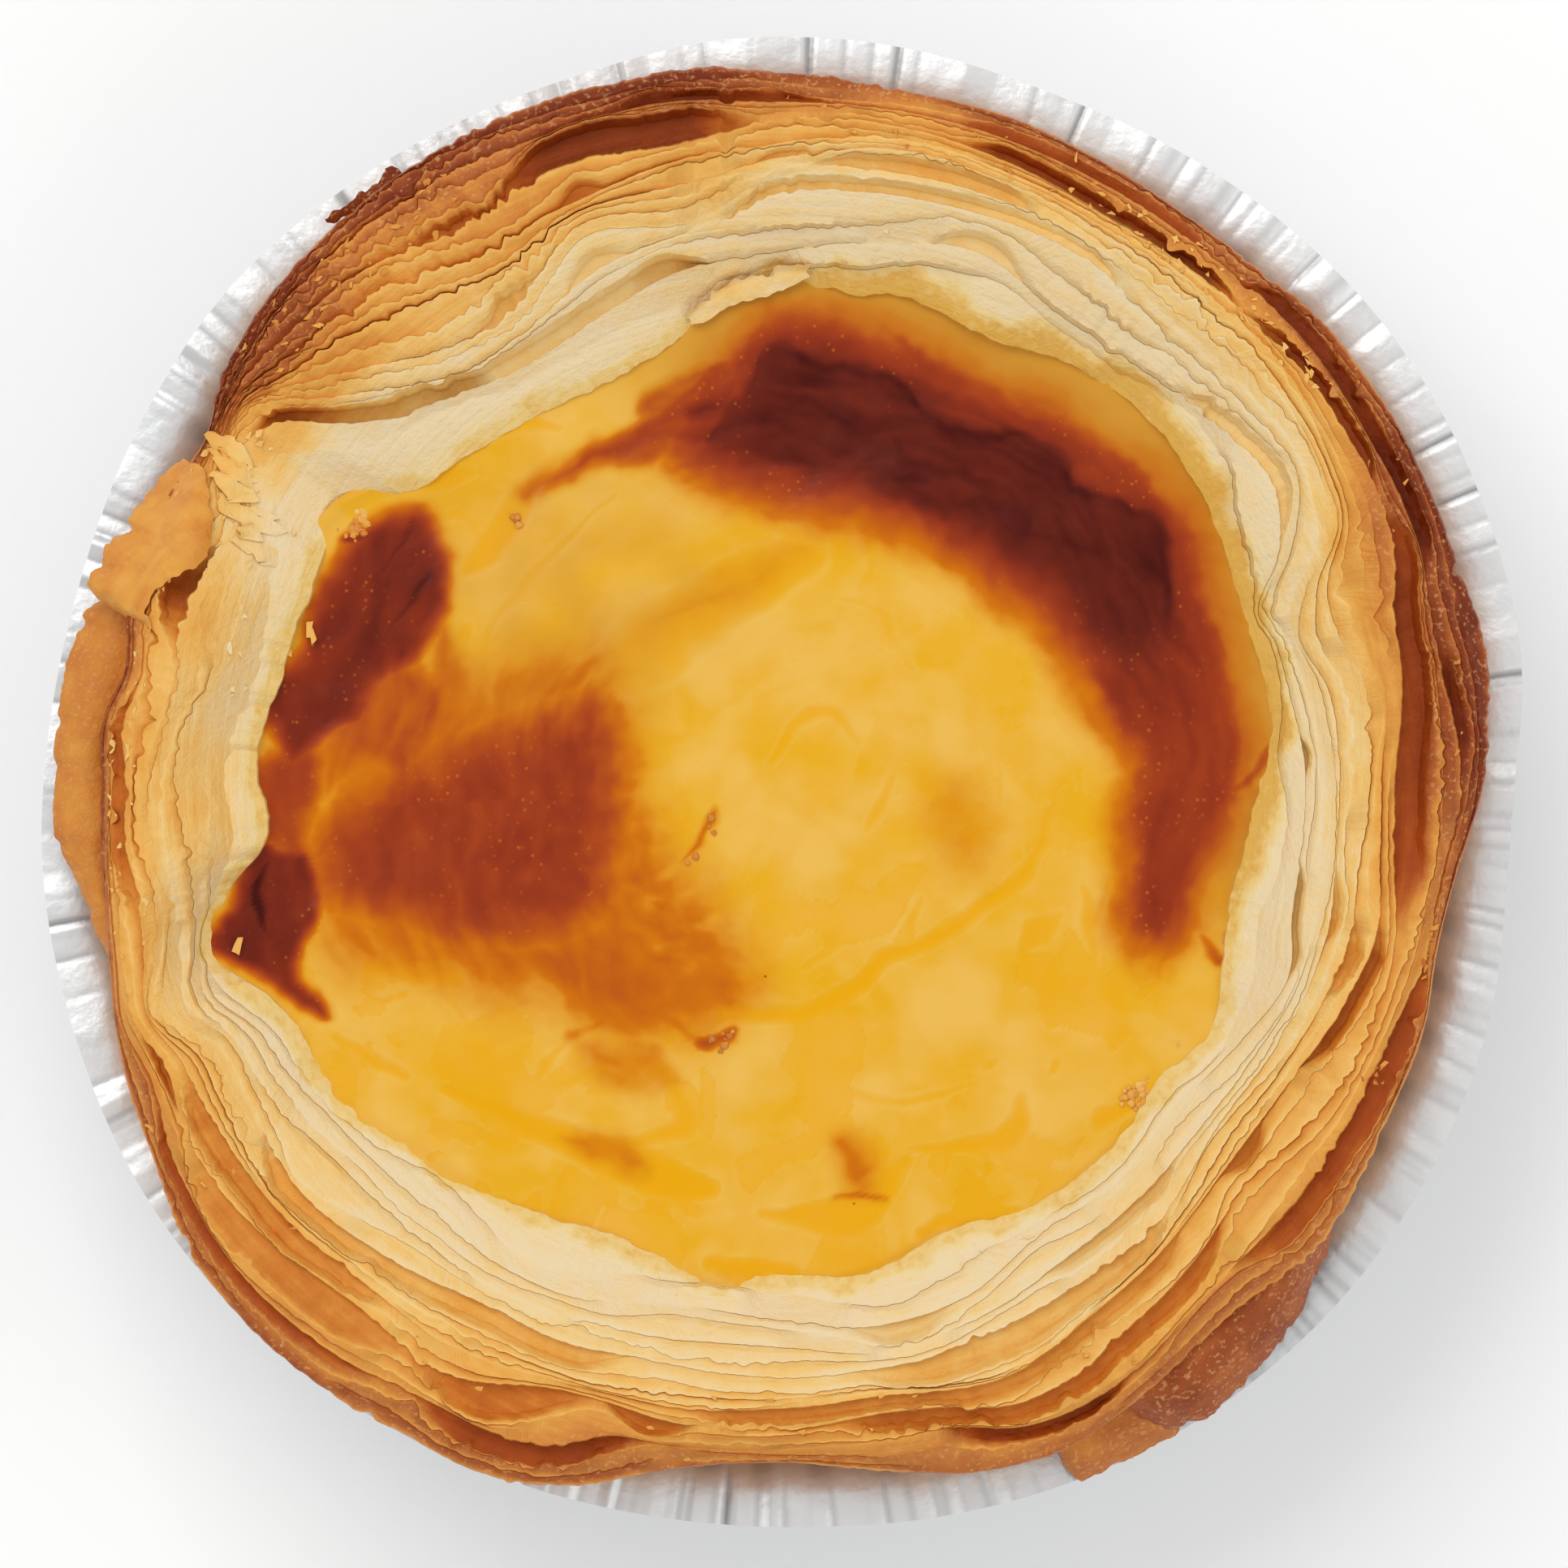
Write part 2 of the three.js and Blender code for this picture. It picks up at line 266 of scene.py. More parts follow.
def degrees_of(x, y):
    return np.degrees(np.arctan2(y, x))


def rows_of_three(x, y, z):
    """Coordinates given as three arrays or numbers, as one row for each point."""
    return np.stack(np.broadcast_arrays(x, y, z), -1).reshape(-1, 3)


# ---- meshes


def placed(name, data, place=(0, 0, 0)):
    """A new object in the scene, at a place in metres."""
    made = bpy.data.objects.new(name, data)
    made.location = place
    bpy.context.collection.objects.link(made)
    return made


def build_mesh(name, points, faces, **painted):
    """A mesh object from points in millimetres, faces, and painted numbers or vectors at the points."""
    mesh = bpy.data.meshes.new(name)
    mesh.from_pydata((points * MM).tolist(), [], [tuple(face) for face in faces])
    for key, values in painted.items():
        values = np.ravel(values).astype(np.float32)
        vector = len(values) > len(points)
        attribute = mesh.attributes.new(key, "FLOAT_VECTOR" if vector else "FLOAT", "POINT")
        attribute.data.foreach_set("vector" if vector else "value", values)
    mesh.shade_smooth()
    mesh.set_sharp_from_angle(angle=SHARP_ANGLE)
    return placed(name, mesh)


def joined_mesh(name, shapes):
    """A mesh object of several shapes, each given by its points, faces and painted values."""
    points, faces, painted = zip(*shapes)
    starts = np.cumsum([0, *map(len, points)])
    faces = np.concatenate([np.asarray(quads) + start for quads, start in zip(faces, starts)])
    painted = {key: np.concatenate([np.ravel(look[key]) for look in painted]) for key in painted[0]}
    return build_mesh(name, np.concatenate(points), faces.tolist(), **painted)


def chip(points, faces, bake):
    """A loose bit of pastry, baked evenly, as a shape."""
    none = np.zeros(len(points))
    return points, faces, {"bake": none + bake, "shade": none, "wet": none, "streak": points / 2}


def ring_faces(rows):
    """Quads of a closed section of so many rows, swept round the whole ring."""
    index = np.arange(rows * RING_STEPS).reshape(rows, RING_STEPS)
    above = np.roll(index, -1, axis=0)
    quads = [index, above, np.roll(above, -1, axis=1), np.roll(index, -1, axis=1)]
    return np.stack(quads, -1).reshape(-1, 4)


def ring_columns(rows):
    """Rows of numbers or of arrays over the angles, as one full array for each column."""
    return (np.array([np.broadcast_to(value, RING_STEPS) for value in column]) for column in zip(*rows))


def grid_faces(rows, steps):
    """Quads of a grid of points, and the points along its border."""
    index = np.arange(rows * steps).reshape(rows, steps)
    quads = np.stack([index[:-1, :-1], index[1:, :-1], index[1:, 1:], index[:-1, 1:]], -1).reshape(-1, 4)
    return quads, np.concatenate([index[:-1, 0], index[-1, :-1], index[:0:-1, -1], index[0, :0:-1]])


def skirt(border, under):
    """Quads from a closed border down to the points under it."""
    return np.stack([border, under, np.roll(under, -1), np.roll(border, -1)], -1)


# ---- the pastry rim


# The dough meets the custard in a wavering line, ragged between these angles.
RAGGED_LIP = (80, 108)
lip_waver = 0.2 + 0.35 * turn_between(angles, *RAGGED_LIP, 8)
custard_radius = around(CUSTARD_EDGE, angles) + lip_waver * rough(*polar(28, angles), 1.5, 44)

# A ring about the middle of the rim, where noise that changes with the angle only is read.
ring_x, ring_y = polar(30, angles)
spread = turn_between(angles, *SPREAD, 8)
apart = 1 - turn_between(angles, *MERGED, 5)

# The rim's rise from the custard's lip, 0, to its crest, 1, by the share of the way to the outside.
RISE = [(0, 0.06), (0.12, 0.28), (0.3, 0.58), (0.5, 0.85), (0.68, 1), (0.85, 0.97), (1, 0.72)]


def sheet_edge(index, degrees):
    """The free edge of a main sheet as a radius at each angle; -1 is the outermost one."""
    return around([(at, row[index]) for at, row in SECTIONS.items()], degrees)


def edge_height(radius, degrees):
    """Height of the rim at a radius."""
    custard = around(CUSTARD_EDGE, degrees)
    share = (radius - custard) / (sheet_edge(-1, degrees) - custard)
    rise = np.interp(share, *zip(*RISE))
    away = np.abs((degrees - PINCH_ANGLE + 180) % 360 - 180)
    drop = PINCH_DROP * (1 - smooth(0, PINCH_HALF_WIDTH, away)) * smooth(0, 0.6, share)
    return LIP_HEIGHT + (CREST - LIP_HEIGHT) * rise - drop + 0.35 * noise(*polar(30, degrees), 14, 5)


def ring_noise(size, seed):
    return noise(ring_x, ring_y, size, seed)


def gap_round(look, index, fade):
    """A gap outside a sheet, at every angle: how wide, how deep and how open it is."""
    depth = look["innermost" if index < INNERMOST else "depth"]
    return {"width": np.full(RING_STEPS, look["width"]), "depth": depth * fade, "open": fade}


def finer_gap(index, seed):
    """The gap outside a finer sheet, which comes and goes."""
    fade = np.maximum(smooth(-0.4, 0.3, ring_noise(8, seed + 40)), spread)
    fade = fade * (1 - turn_between(angles, *UNSPLIT, 6)) * (apart if index < INNERMOST else 1)
    if index == 0:
        fade = fade * (1 - turn_between(angles, *SMOOTH_LOBE, 6))
    return gap_round(FINE_GAP, index, fade)


def main_gap(index):
    """The gap outside a main sheet: a plain one that comes and goes, opened wider where GAPS says so."""
    fade = smooth(-0.45, 0.15, ring_noise(9, 30 + index)) * (apart if index < INNERMOST - 1 else 1)
    gap = gap_round(PLAIN_GAP, index, np.maximum(fade, spread))
    gap["depth"] = gap["depth"] * (1 + 1.2 * spread)
    for start, end, width, depth in (row[1:] for row in GAPS if row[0] == index):
        amount = turn_between(angles, start, end, 3 + 3 * width)
        gap["width"] = gap["width"] + width * amount
        gap["depth"] = gap["depth"] + (depth - gap["depth"]) * amount
        gap["open"] = np.maximum(gap["open"], amount)
    return gap


def rim_sheets():
    """Every sheet of the rim, from the custard out, as arrays over the angles."""
    sheets = []
    inner = custard_radius - 0.2
    inner_bake = FIRST_BAKE
    gap = {"width": np.zeros(RING_STEPS), "depth": np.ones(RING_STEPS), "open": np.ones(RING_STEPS)}
    for index, (finer, tear, bake) in enumerate(SHEETS):
        outer = np.maximum(sheet_edge(index, angles), inner + 0.12)
        start = np.minimum(inner + gap["width"], outer - 0.1)
        parts = finer + 1
        for part in range(1, parts + 1):
            seed = 40 * index + part
            wander = 0.8 * ring_noise(9, seed) + 0.25 * ring_noise(3.5, seed + 20)
            lift = 0.2 * ring_noise(9, seed + 60) + 0.06 * ring_noise(3, seed + 80)
            sheets.append({
                "edge": start + (outer - start) * (part + wander * (part < parts)) / parts,
                "gap": gap if part == 1 else finer_gap(index, seed),
                "tear": tear,
                "bake": inner_bake + (bake - inner_bake) * part / parts + 0.05 * ring_noise(11, seed + 50),
                "lift": lift * (part == parts) * (apart if index < INNERMOST else 1),
            })
        gap = main_gap(index)
        inner = outer
        inner_bake = bake
    return sheets


def torn(radius, amount, seed):
    """A sheet's edge with long waves, and here and there a ragged stretch with chips broken out of it."""
    x, y = polar(radius, angles)
    waves = 0.7 * noise(x, y, 4.5, seed)
    ragged = smooth(-0.1, 0.5, noise(x, y, 5.5, seed + 3))
    for begin, end, extra in RAGGED:
        ragged = ragged + extra * turn_between(angles, begin, end, 5)
    teeth = rough(x, y, 0.6, seed + 7, 2)
    chips = np.maximum(noise(x, y, 1.2, seed + 13) - 0.25, 0)
    return radius + amount * (waves + 0.4 * teeth + ragged * (0.8 * teeth - 3 * chips))


# A sheet's section, from the foot of its inner face to its edge and down outside. How far along the face its
# points lie; then, for every row: whether it is on the face, how much of the edge's paler rim it has (partly
# paler dough, partly a painted highlight), and how much painted shade of the gap behind the sheet before it.
FACE = (0, 0.25, 0.55, 0.82, 1)
ON_FACE = np.array([0, 0, 0, 1, 1, 1, 0, 0, 0])[:, None]
EDGE_PALE_AND_HIGHLIGHT = np.array([0, 0, 0, 0, 0.2, 0.6, 1, 1, 0])[:, None]
GAP_SHADE = np.array([1, 1, 0.6, 0.25, 0.1, 0, 0, 0.4, 1])[:, None]
# How strongly the painted shade of the gap shows, by the gap's depth.
DEEPENING = [(0, 0), (0.06, 0.45), (0.25, 0.7), (1.1, 1.8)]
# Where the dough has soaked up more of the custard than elsewhere.
SOAKED = (335, 100)


def sheet_section(sheet, before, edge, height, joined):
    """Radii and heights of the section's rows, and how far each row is on the way from foot to edge."""
    foot = before["edge"] + 0.02 - 0.03 * joined
    room = np.maximum(edge - foot, 0.02)
    gap = np.minimum(sheet["gap"]["width"], 0.8 * room)
    soft = np.minimum(0.18, 0.2 * room)
    floor = before["height"] - sheet["gap"]["depth"]
    face_start = np.maximum(height - 0.45 * (room - gap), floor + 0.03)
    rows = [(foot, floor), (foot + np.maximum(gap - soft, 0), floor)]
    for along in FACE:
        from_foot = gap + soft + (room - gap - soft) * along
        stepped = face_start + (height - face_start) * (1 - (1 - along) ** 1.2)
        running_on = before["height"] + (height - before["height"]) * from_foot / room
        rows.append((foot + from_foot, stepped + (running_on - stepped) * joined))
    rows += [(edge + SHEET_THICKNESS, height - 0.9), (foot + 0.05, np.minimum(height, floor) - 1.4)]
    radii, heights = ring_columns(rows)
    return radii, heights, np.clip((radii - foot) / room, 0, 1)


def wetness(x, y, radii):
    """How wet with custard the dough is, beside the custard."""
    soaked = turn_between(angles, *SOAKED, 20)
    from_custard = radii - custard_radius - 0.6 * noise(x, y, 2.2, 41)
    return (0.75 + 0.25 * soaked) * (1 - smooth(0, 1, from_custard / (0.8 + 1.2 * soaked)))


def rim_sheet(sheet, before, number):
    """A sheet's shape, from the bottom of the gap behind the one before to its torn edge, and that edge."""
    tear = np.minimum(sheet["tear"], 0.4 * np.maximum(sheet["edge"] - before["edge"], 0))
    edge = np.maximum(torn(sheet["edge"], tear, 100 + 17 * number), before["edge"] + 0.03)
    height = edge_height(edge, angles) + sheet["lift"]
    height = height + 0.3 * tear * rough(*polar(edge, angles), 1, 500 + number)
    depth = sheet["gap"]["depth"]
    joined = 1 - smooth(0, 0.5, sheet["gap"]["open"])
    radii, heights, share = sheet_section(sheet, before, edge, height, joined)
    px, py = polar(radii, angles)
    # Painted shade in the gap behind the sheet before, stronger where the gap is deeper.
    shade = np.minimum(GAP_SHADE * np.interp(depth, *zip(*DEEPENING)), 1)
    # A paler rim along the torn edge: partly the paler dough there, partly a painted highlight.
    pale_and_highlight = EDGE_PALE_AND_HIGHLIGHT * (0.06 + 0.22 * sheet["bake"]) * (1 - joined)
    bake = sheet["bake"] + (before["bake"] - sheet["bake"]) * joined * (1 - share)
    bake = bake + 0.07 * rough(px, py, 6, 900) + browner(angles, radii)
    # Painted shade: the deepest gaps are painted browner too.
    bake = bake + 0.18 * smooth(0.8, 1.4, depth) * shade
    wet = wetness(px, py, radii)
    sandy = smooth(0.45, 0.7, bake) * rough(px, py, 0.8, 43, 2)
    heights = heights + ON_FACE * (0.05 * rough(px, py, 2.2, 700 + number) + 0.14 * sandy)
    heights = heights + (radii < 34) * wet * 0.12 * rough(px, py, 1.3, 42)
    streak = rows_of_three(px / 6, py / 6, radii / 0.35 + number * 7.3 * (1 - joined))
    painted = {"bake": np.clip(bake - pale_and_highlight, 0, 1), "shade": shade, "wet": wet, "streak": streak}
    shape = (rows_of_three(px, py, heights), ring_faces(len(radii)), painted)
    return shape, {"edge": edge, "height": height, "bake": sheet["bake"]}


# Stretches baked browner than the rest: from and to angle, from and to radius of the rise, and how much.
BROWNER = [
    (90, 154, 29.5, 32, 0.12), (128, 158, 31, 32.2, 0.17), (126, 152, 34, 35, 0.14),
    (90, 132, 35.8, 36.6, 0.16), (195, 262, 30, 32.5, 0.05), (344, 392, 31.2, 32.4, 0.18),
    (170, 192, 29, 30, 0.09), (153, 192, 27.5, 30.5, 0.11), (156, 174, 30.5, 32, 0.08),
    (352, 396, 32.8, 34.5, 0.14), (20, 80, 34.6, 36, 0.14), (78, 100, 34, 35.5, 0.12),
]


def browner(degrees, radii):
    """Extra browning at a place on the rim."""
    return sum(
        amount * turn_between(degrees, start, end, 9) * smooth(low, high, radii)
        for start, end, low, high, amount in BROWNER
    )


# How many sheets one piece holds, so that none has too many triangles.
PIECE_SHEETS = 6


def pastry_rim():
    """The nested sheets, a few to a piece, and the edge of the outermost one."""
    lip = np.full(RING_STEPS, LIP_HEIGHT)
    before = {"edge": custard_radius - 0.8, "height": lip, "bake": FIRST_BAKE}
    shapes = []
    for number, sheet in enumerate(rim_sheets()):
        shape, before = rim_sheet(sheet, before, number)
        shapes.append(shape)
    starts = range(0, len(shapes), PIECE_SHEETS)
    pieces = [
        joined_mesh(f"pastry_layers_{number}", shapes[start:start + PIECE_SHEETS])
        for number, start in enumerate(starts, 1)
    ]
    return pieces, before


def foil_radius(z):
    """The foil's radius at a height, round the ring: a straight wall up to the neck, then the brim."""
    rim = around(FOIL_RIM, angles)
    neck = rim - FOIL_BRIM_WIDTH
    if z > FOIL_BRIM_START:
        return neck + FOIL_BRIM_WIDTH * (z - FOIL_BRIM_START) / (FOIL_RIM_HEIGHT - FOIL_BRIM_START)
    return FOIL_BASE_RADIUS + (neck - FOIL_BASE_RADIUS) * z / FOIL_BRIM_START


# How far the wall's plies are set in from the rim's edge, from the foil up.
INSET = [(0, 1.5), (0.12, 0.8), (0.35, 0.25), (0.65, 0.1), (1, -0.05)]
PLY_ROWS = 20
# Where the plies start, and the bottom of the cavity for the custard.
PLIES_START = 19.9
CAVITY_RADIUS = 20
CAVITY_FLOOR = 3.6


def pastry_wall(outermost):
    """The shell under the rim: a wall inside the foil, a base, and the cavity that holds the custard."""
    rows = [(foil_radius(z) - 1, z) for z in (FLOOR_UNDER, 3, 8, 13, FOIL_BRIM_START)]
    rows.append((foil_radius(FOIL_BRIM_START) - 0.9, FOIL_RIM_HEIGHT + 0.6))
    x, y = polar(outermost["edge"], angles)
    top = outermost["height"] - 1
    for share in np.linspace(0, 1, PLY_ROWS):
        inset = np.interp(share, *zip(*INSET))
        plies = 0.16 * noise(angles / 14, share * PLY_ROWS / 1.7, 1, 60) + 0.1 * rough(x, y, 3, 61)
        rows.append((outermost["edge"] - inset + plies, PLIES_START + (top - PLIES_START) * share))
    rows += [(custard_radius, 20.5), (custard_radius - 2, 19)]
    rows += [(CAVITY_RADIUS, CAVITY_FLOOR), (1, CAVITY_FLOOR), (1, FLOOR_UNDER)]
    radii, levels = ring_columns(rows)
    px, py = polar(radii, angles)
    none = np.zeros(radii.size)
    return build_mesh(
        "pastry_wall", rows_of_three(px, py, levels), ring_faces(len(rows)),
        bake=np.clip(0.55 + 0.12 * rough(px, py, 5, 77) + 0.15 * smooth(21, 23.5, levels), 0, 1),
        shade=none, wet=none, streak=rows_of_three(px / 5, py / 5, levels / 0.3),
    )


# ---- the custard


# Points along each side of the custard's grid.
CUSTARD_GRID = 290


def curve(points, closed=False, steps=5):
    """More points along a smooth curve through the given ones."""
    points = np.array(points, float)
    if closed:
        points = np.concatenate([points[-1:], points, points[:2]])
    else:
        points = np.concatenate([2 * points[:1] - points[1:2], points, 2 * points[-1:] - points[-2:-1]])
    a, b, c, d = points[:-3], points[1:-2], points[2:-1], points[3:]
    t = (np.arange(steps) / steps)[:, None, None]
    made = 0.5 * (2 * b + (c - a) * t + (2 * a - 5 * b + 4 * c - d) * t**2 + (3 * b - a - 3 * c + d) * t**3)
    made = made.transpose(1, 0, 2).reshape(-1, 2)
    return made if closed else np.concatenate([made, c[-1:]])


def line_distance(x, y, points, reach=5.0):
    """Distance to a line, and how far along it the nearest point is, from 0 to 1."""
    best = np.full(x.shape, reach)
    along = np.zeros(x.shape)
    low = points.min(axis=0) - reach
    high = points.max(axis=0) + reach
    near = (x > low[0]) & (x < high[0]) & (y > low[1]) & (y < high[1])
    xn, yn, closest, at = x[near], y[near], best[near], along[near]
    for i in range(len(points) - 1):
        ax, ay = points[i]
        bx, by = points[i + 1]
        length = (bx - ax) ** 2 + (by - ay) ** 2
        t = np.clip(((xn - ax) * (bx - ax) + (yn - ay) * (by - ay)) / length, 0, 1)
        d = np.hypot(xn - ax - t * (bx - ax), yn - ay - t * (by - ay))
        at = np.where(d < closest, (i + t) / (len(points) - 1), at)
        closest = np.minimum(d, closest)
    best[near] = closest
    along[near] = at
    return best, along


def inside(x, y, outline):
    """How deep each point lies inside a smooth closed outline; negative outside it."""
    points = curve(outline, closed=True)
    points = np.concatenate([points, points[:1]])
    d, _ = line_distance(x, y, points)
    within = np.zeros(x.shape, bool)
    for (ax, ay), (bx, by) in zip(points[:-1], points[1:]):
        if ay != by:
            within ^= ((ay > y) != (by > y)) & (x < ax + (y - ay) * (bx - ax) / (by - ay))
    return np.where(within, d, -d)


def stroke(x, y, level, soft, widths, points):
    """A painted stroke along a line, with its half-widths at the start, the middle and the end."""
    d, along = line_distance(x, y, curve(points))
    width = np.interp(along, (0, 0.5, 1), widths)
    return level * (1 - smooth(width - soft, width + soft, d))


def patch(x, y, level, soft, outline):
    """A painted patch that fades across its outline."""
    return level * smooth(-soft, soft, inside(x, y, outline))


# The custard's browning, painted as outlines and lines through points in millimetres. Level 0 is yellow,
# 0.3 amber, 0.5 orange-brown, 0.7 rust and 1 burnt.
# The big burnt arc: the limit of its browning, tail and all.
ARC_LIMIT = [
    (-5.6, 17.6), (-5.4, 19.6), (-3.4, 21.6), (-2.2, 23.6), (-0.2, 24.9), (3, 24.7), (8.8, 22.8), (11, 21),
    (14, 20.2), (17.2, 17.8), (20, 16.3), (21.9, 14.4), (22.9, 11.6), (23.2, 8.6), (24.1, 5.4), (24.6, 0.2),
    (23.6, -2.2), (21.7, -7), (20.2, -8.8), (18.7, -7.6), (18.5, -5.4), (19.2, 0.6), (18.2, 2.6),
    (14.4, 8.4), (11.4, 10.9), (7.8, 13.3), (4.2, 14.5), (0, 15.2),
]
# How brown the arc is at a depth inside that limit.
ARC_PROFILE = [
    (-3.2, 0), (-2, 0.14), (-1, 0.32), (0, 0.5), (0.8, 0.66), (1.6, 0.77), (2.8, 0.87), (4, 0.92),
]
# The sharp scalloped front of its burnt core, from its left end to the start of the tail.
ARC_FRONT = [
    (-4.6, 17.8), (-3.6, 19.6), (-1.5, 22.2), (-1, 23.4), (0.3, 23.9), (1, 23.2), (2, 22.8), (6, 22.4),
    (7.4, 20.4), (8.5, 19.6), (11, 18.8), (12, 19.2), (13.4, 19.3), (15.8, 17.6), (15.8, 16.3),
    (18.2, 15.6), (19, 15), (20, 14.8), (21, 13), (21.1, 11.3), (20.8, 8), (20.2, 5.5),
]

# Level, how soft the edge is, and the outline.
BROWN_PATCHES = [
    # dark patch at the upper left
    (0.79, 1.1, [
        (-19.3, 15), (-18.3, 13.3), (-18, 11), (-19, 7.6), (-20.2, 6), (-21.8, 4.8), (-22.6, 3.2),
        (-24, 2.6), (-26.4, 1), (-27.2, 2.4), (-28.8, 4.6), (-27.4, 6.2), (-25.8, 7.2), (-23.8, 12.6),
    ]),
    # the brown below it, down to the burnt corner
    (0.58, 1.5, [
        (-27.2, 2.2), (-25.5, 2.4), (-24.4, 1), (-25.2, -2.2), (-24.4, -4.4), (-26, -5.2), (-28.6, -3),
        (-28.6, -1), (-29.8, 0.4),
    ]),
    # burnt corner at the left
    (0.79, 0.7, [
        (-28, -3.2), (-27, -3.4), (-25.6, -3.4), (-24.8, -5), (-24.9, -7.2), (-26, -10.2), (-24.6, -11.4),
        (-24.4, -12.5), (-26.5, -11.7), (-28.4, -10.2), (-30.2, -9.4), (-30.7, -8.2), (-28.9, -4.6),
    ]),
    # soft rust patch
    (0.64, 3.2, [
        (-12.3, 5), (-8.9, 4.4), (-8, -1), (-9.2, -7.6), (-13.2, -9), (-17.6, -9.4), (-20.6, -8),
        (-25, -6.4), (-24.4, -0.8),
    ]),
    (0.7, 2.2, [(-15.6, -0.8), (-12.6, -1.2), (-11.8, -4.6), (-14.2, -7), (-18, -4.6)]),
    # orange-brown between the patches
    (0.5, 1.5, [
        (-24.6, 5.4), (-21.6, 7), (-19.2, 6.4), (-17.6, 4.4), (-18.2, 1.4), (-20.2, -0.4), (-22.2, 0.2),
        (-25.2, -0.6),
    ]),
    # orange below the rust
    (0.44, 2.8, [
        (-21, -8), (-14, -7), (-7, -7), (-4.6, -11.5), (-6, -13.5), (-9, -14.2), (-15, -11), (-19, -10.4),
    ]),
    # the amber glow round them
    (0.37, 3, [
        (-20.4, 5.4), (-12, 8.2), (-8.6, 7.4), (-7.2, 3.6), (-6.8, -0.6), (-0.9, -9.4), (-1.8, -12.4),
        (-6, -14.4), (-19, -11.2), (-25.2, -9.4), (-25.4, 1.6),
    ]),
    (0.3, 1.2, [(-11.4, -13.4), (-6.6, -13.4), (-5.6, -16.4), (-9.6, -16.6)]),
    (0.78, 1.6, [(-1.6, 22.2), (-4.2, 21.6), (-5.8, 20.2), (-5, 18.6), (-2.6, 19.2)]),
    (0.52, 0.8, [(-3.4, 22.2), (-6.2, 22), (-8.2, 20.6), (-7, 19.2), (-3.8, 19.4)]),
    (0.26, 1.8, [(-0.5, 13.2), (2, 12.6), (-3, 8.8), (-8, 6.6), (-8.6, 8.2)]),
    (0.25, 2.2, [(7.4, 0.6), (10.2, 0.8), (12.2, -2.6), (10.6, -5.4), (7.8, -4)]),
    (0.38, 1.5, [(2.8, -19), (4.8, -19.2), (4.8, -21.8), (3, -21.9)]),
    (0.32, 0.9, [(-12, -19.3), (-9.6, -18.6), (-7, -20.6), (-8.6, -21.2)]),
]
# Level, softness, half-widths at the start, the middle and the end, and the line.
BROWN_STROKES = [
    (0.6, 1.1, (1.9, 1, 0.4), [(-3.2, 20.9), (-7.5, 18.2), (-10, 17.7), (-13.6, 15.9)]),
    (0.89, 0.6, (0.5, 0.4, 0.2), [(-19.7, 14.2), (-22.4, 10.6), (-23.4, 8.8)]),
    (0.88, 0.7, (0.7, 0.6, 0.2), [(-19.4, 11.4), (-20.4, 9), (-22, 6.6)]),
    (0.88, 0.6, (0.4, 0.3, 0.2), [(-23.4, 13), (-21.6, 13.2), (-19.8, 14.2)]),
    (0.74, 0.45, (0.3, 0.5, 0.4), [(-28, -3.8), (-29, -5.8), (-29.6, -8)]),
    (0.72, 0.45, (0.2, 0.45, 0.3), [(-28.2, -9.2), (-26.8, -10.4), (-24.8, -11.8)]),
    (0.97, 0.45, (0.3, 0.6, 0.2), [(-27.6, -4.4), (-28.4, -6.4), (-27.4, -8.6)]),
    (0.56, 1, (0.5, 0.9, 0.6), [(-20, 0.2), (-23, -1.8), (-25, -3.6)]),
    (0.42, 1.4, (0.5, 1.6, 0.8), [(-18.6, 9), (-18, 5), (-19.4, 1)]),
    (0.44, 1.6, (0.6, 1.2, 0.6), [(-20.5, -9.3), (-15, -9.6), (-9, -9), (-4.8, -10.2), (-3, -11.6)]),
    (0.36, 0.8, (0.6, 0.75, 0.4), [
        (-11.4, -13.4), (-8.5, -12.4), (-6, -12.6), (-4.4, -13.6), (-2.8, -13.8),
    ]),
    (0.52, 0.45, (0.5, 0.45, 0.4), [(-4, -13.9), (-2.9, -13.6)]),
    (0.5, 0.45, (0.1, 0.3, 0.1), [(2.6, -22.2), (4, -21.9), (5.3, -22.3)]),
    (0.5, 0.45, (0.2, 0.5, 0.3), [(22.6, -8.2), (23.3, -9.4), (24.1, -9)]),
    (0.55, 0.45, (0.7, 0.5, 0.5), [(23.2, -0.9), (25, 0), (25.8, 1.8)]),
    (0.45, 0.45, (0.25, 0.15, 0.1), [(-12.2, 6), (-10.2, 6.8)]),
    (0.42, 0.45, (0.5, 0.4, 0.3), [(-6.8, -6.4), (-6.2, -7.2)]),
    (0.42, 0.45, (0.3, 0.3, 0.1), [(-3.5, -1.6), (-4.5, -3.2), (-5.3, -4.2)]),
]
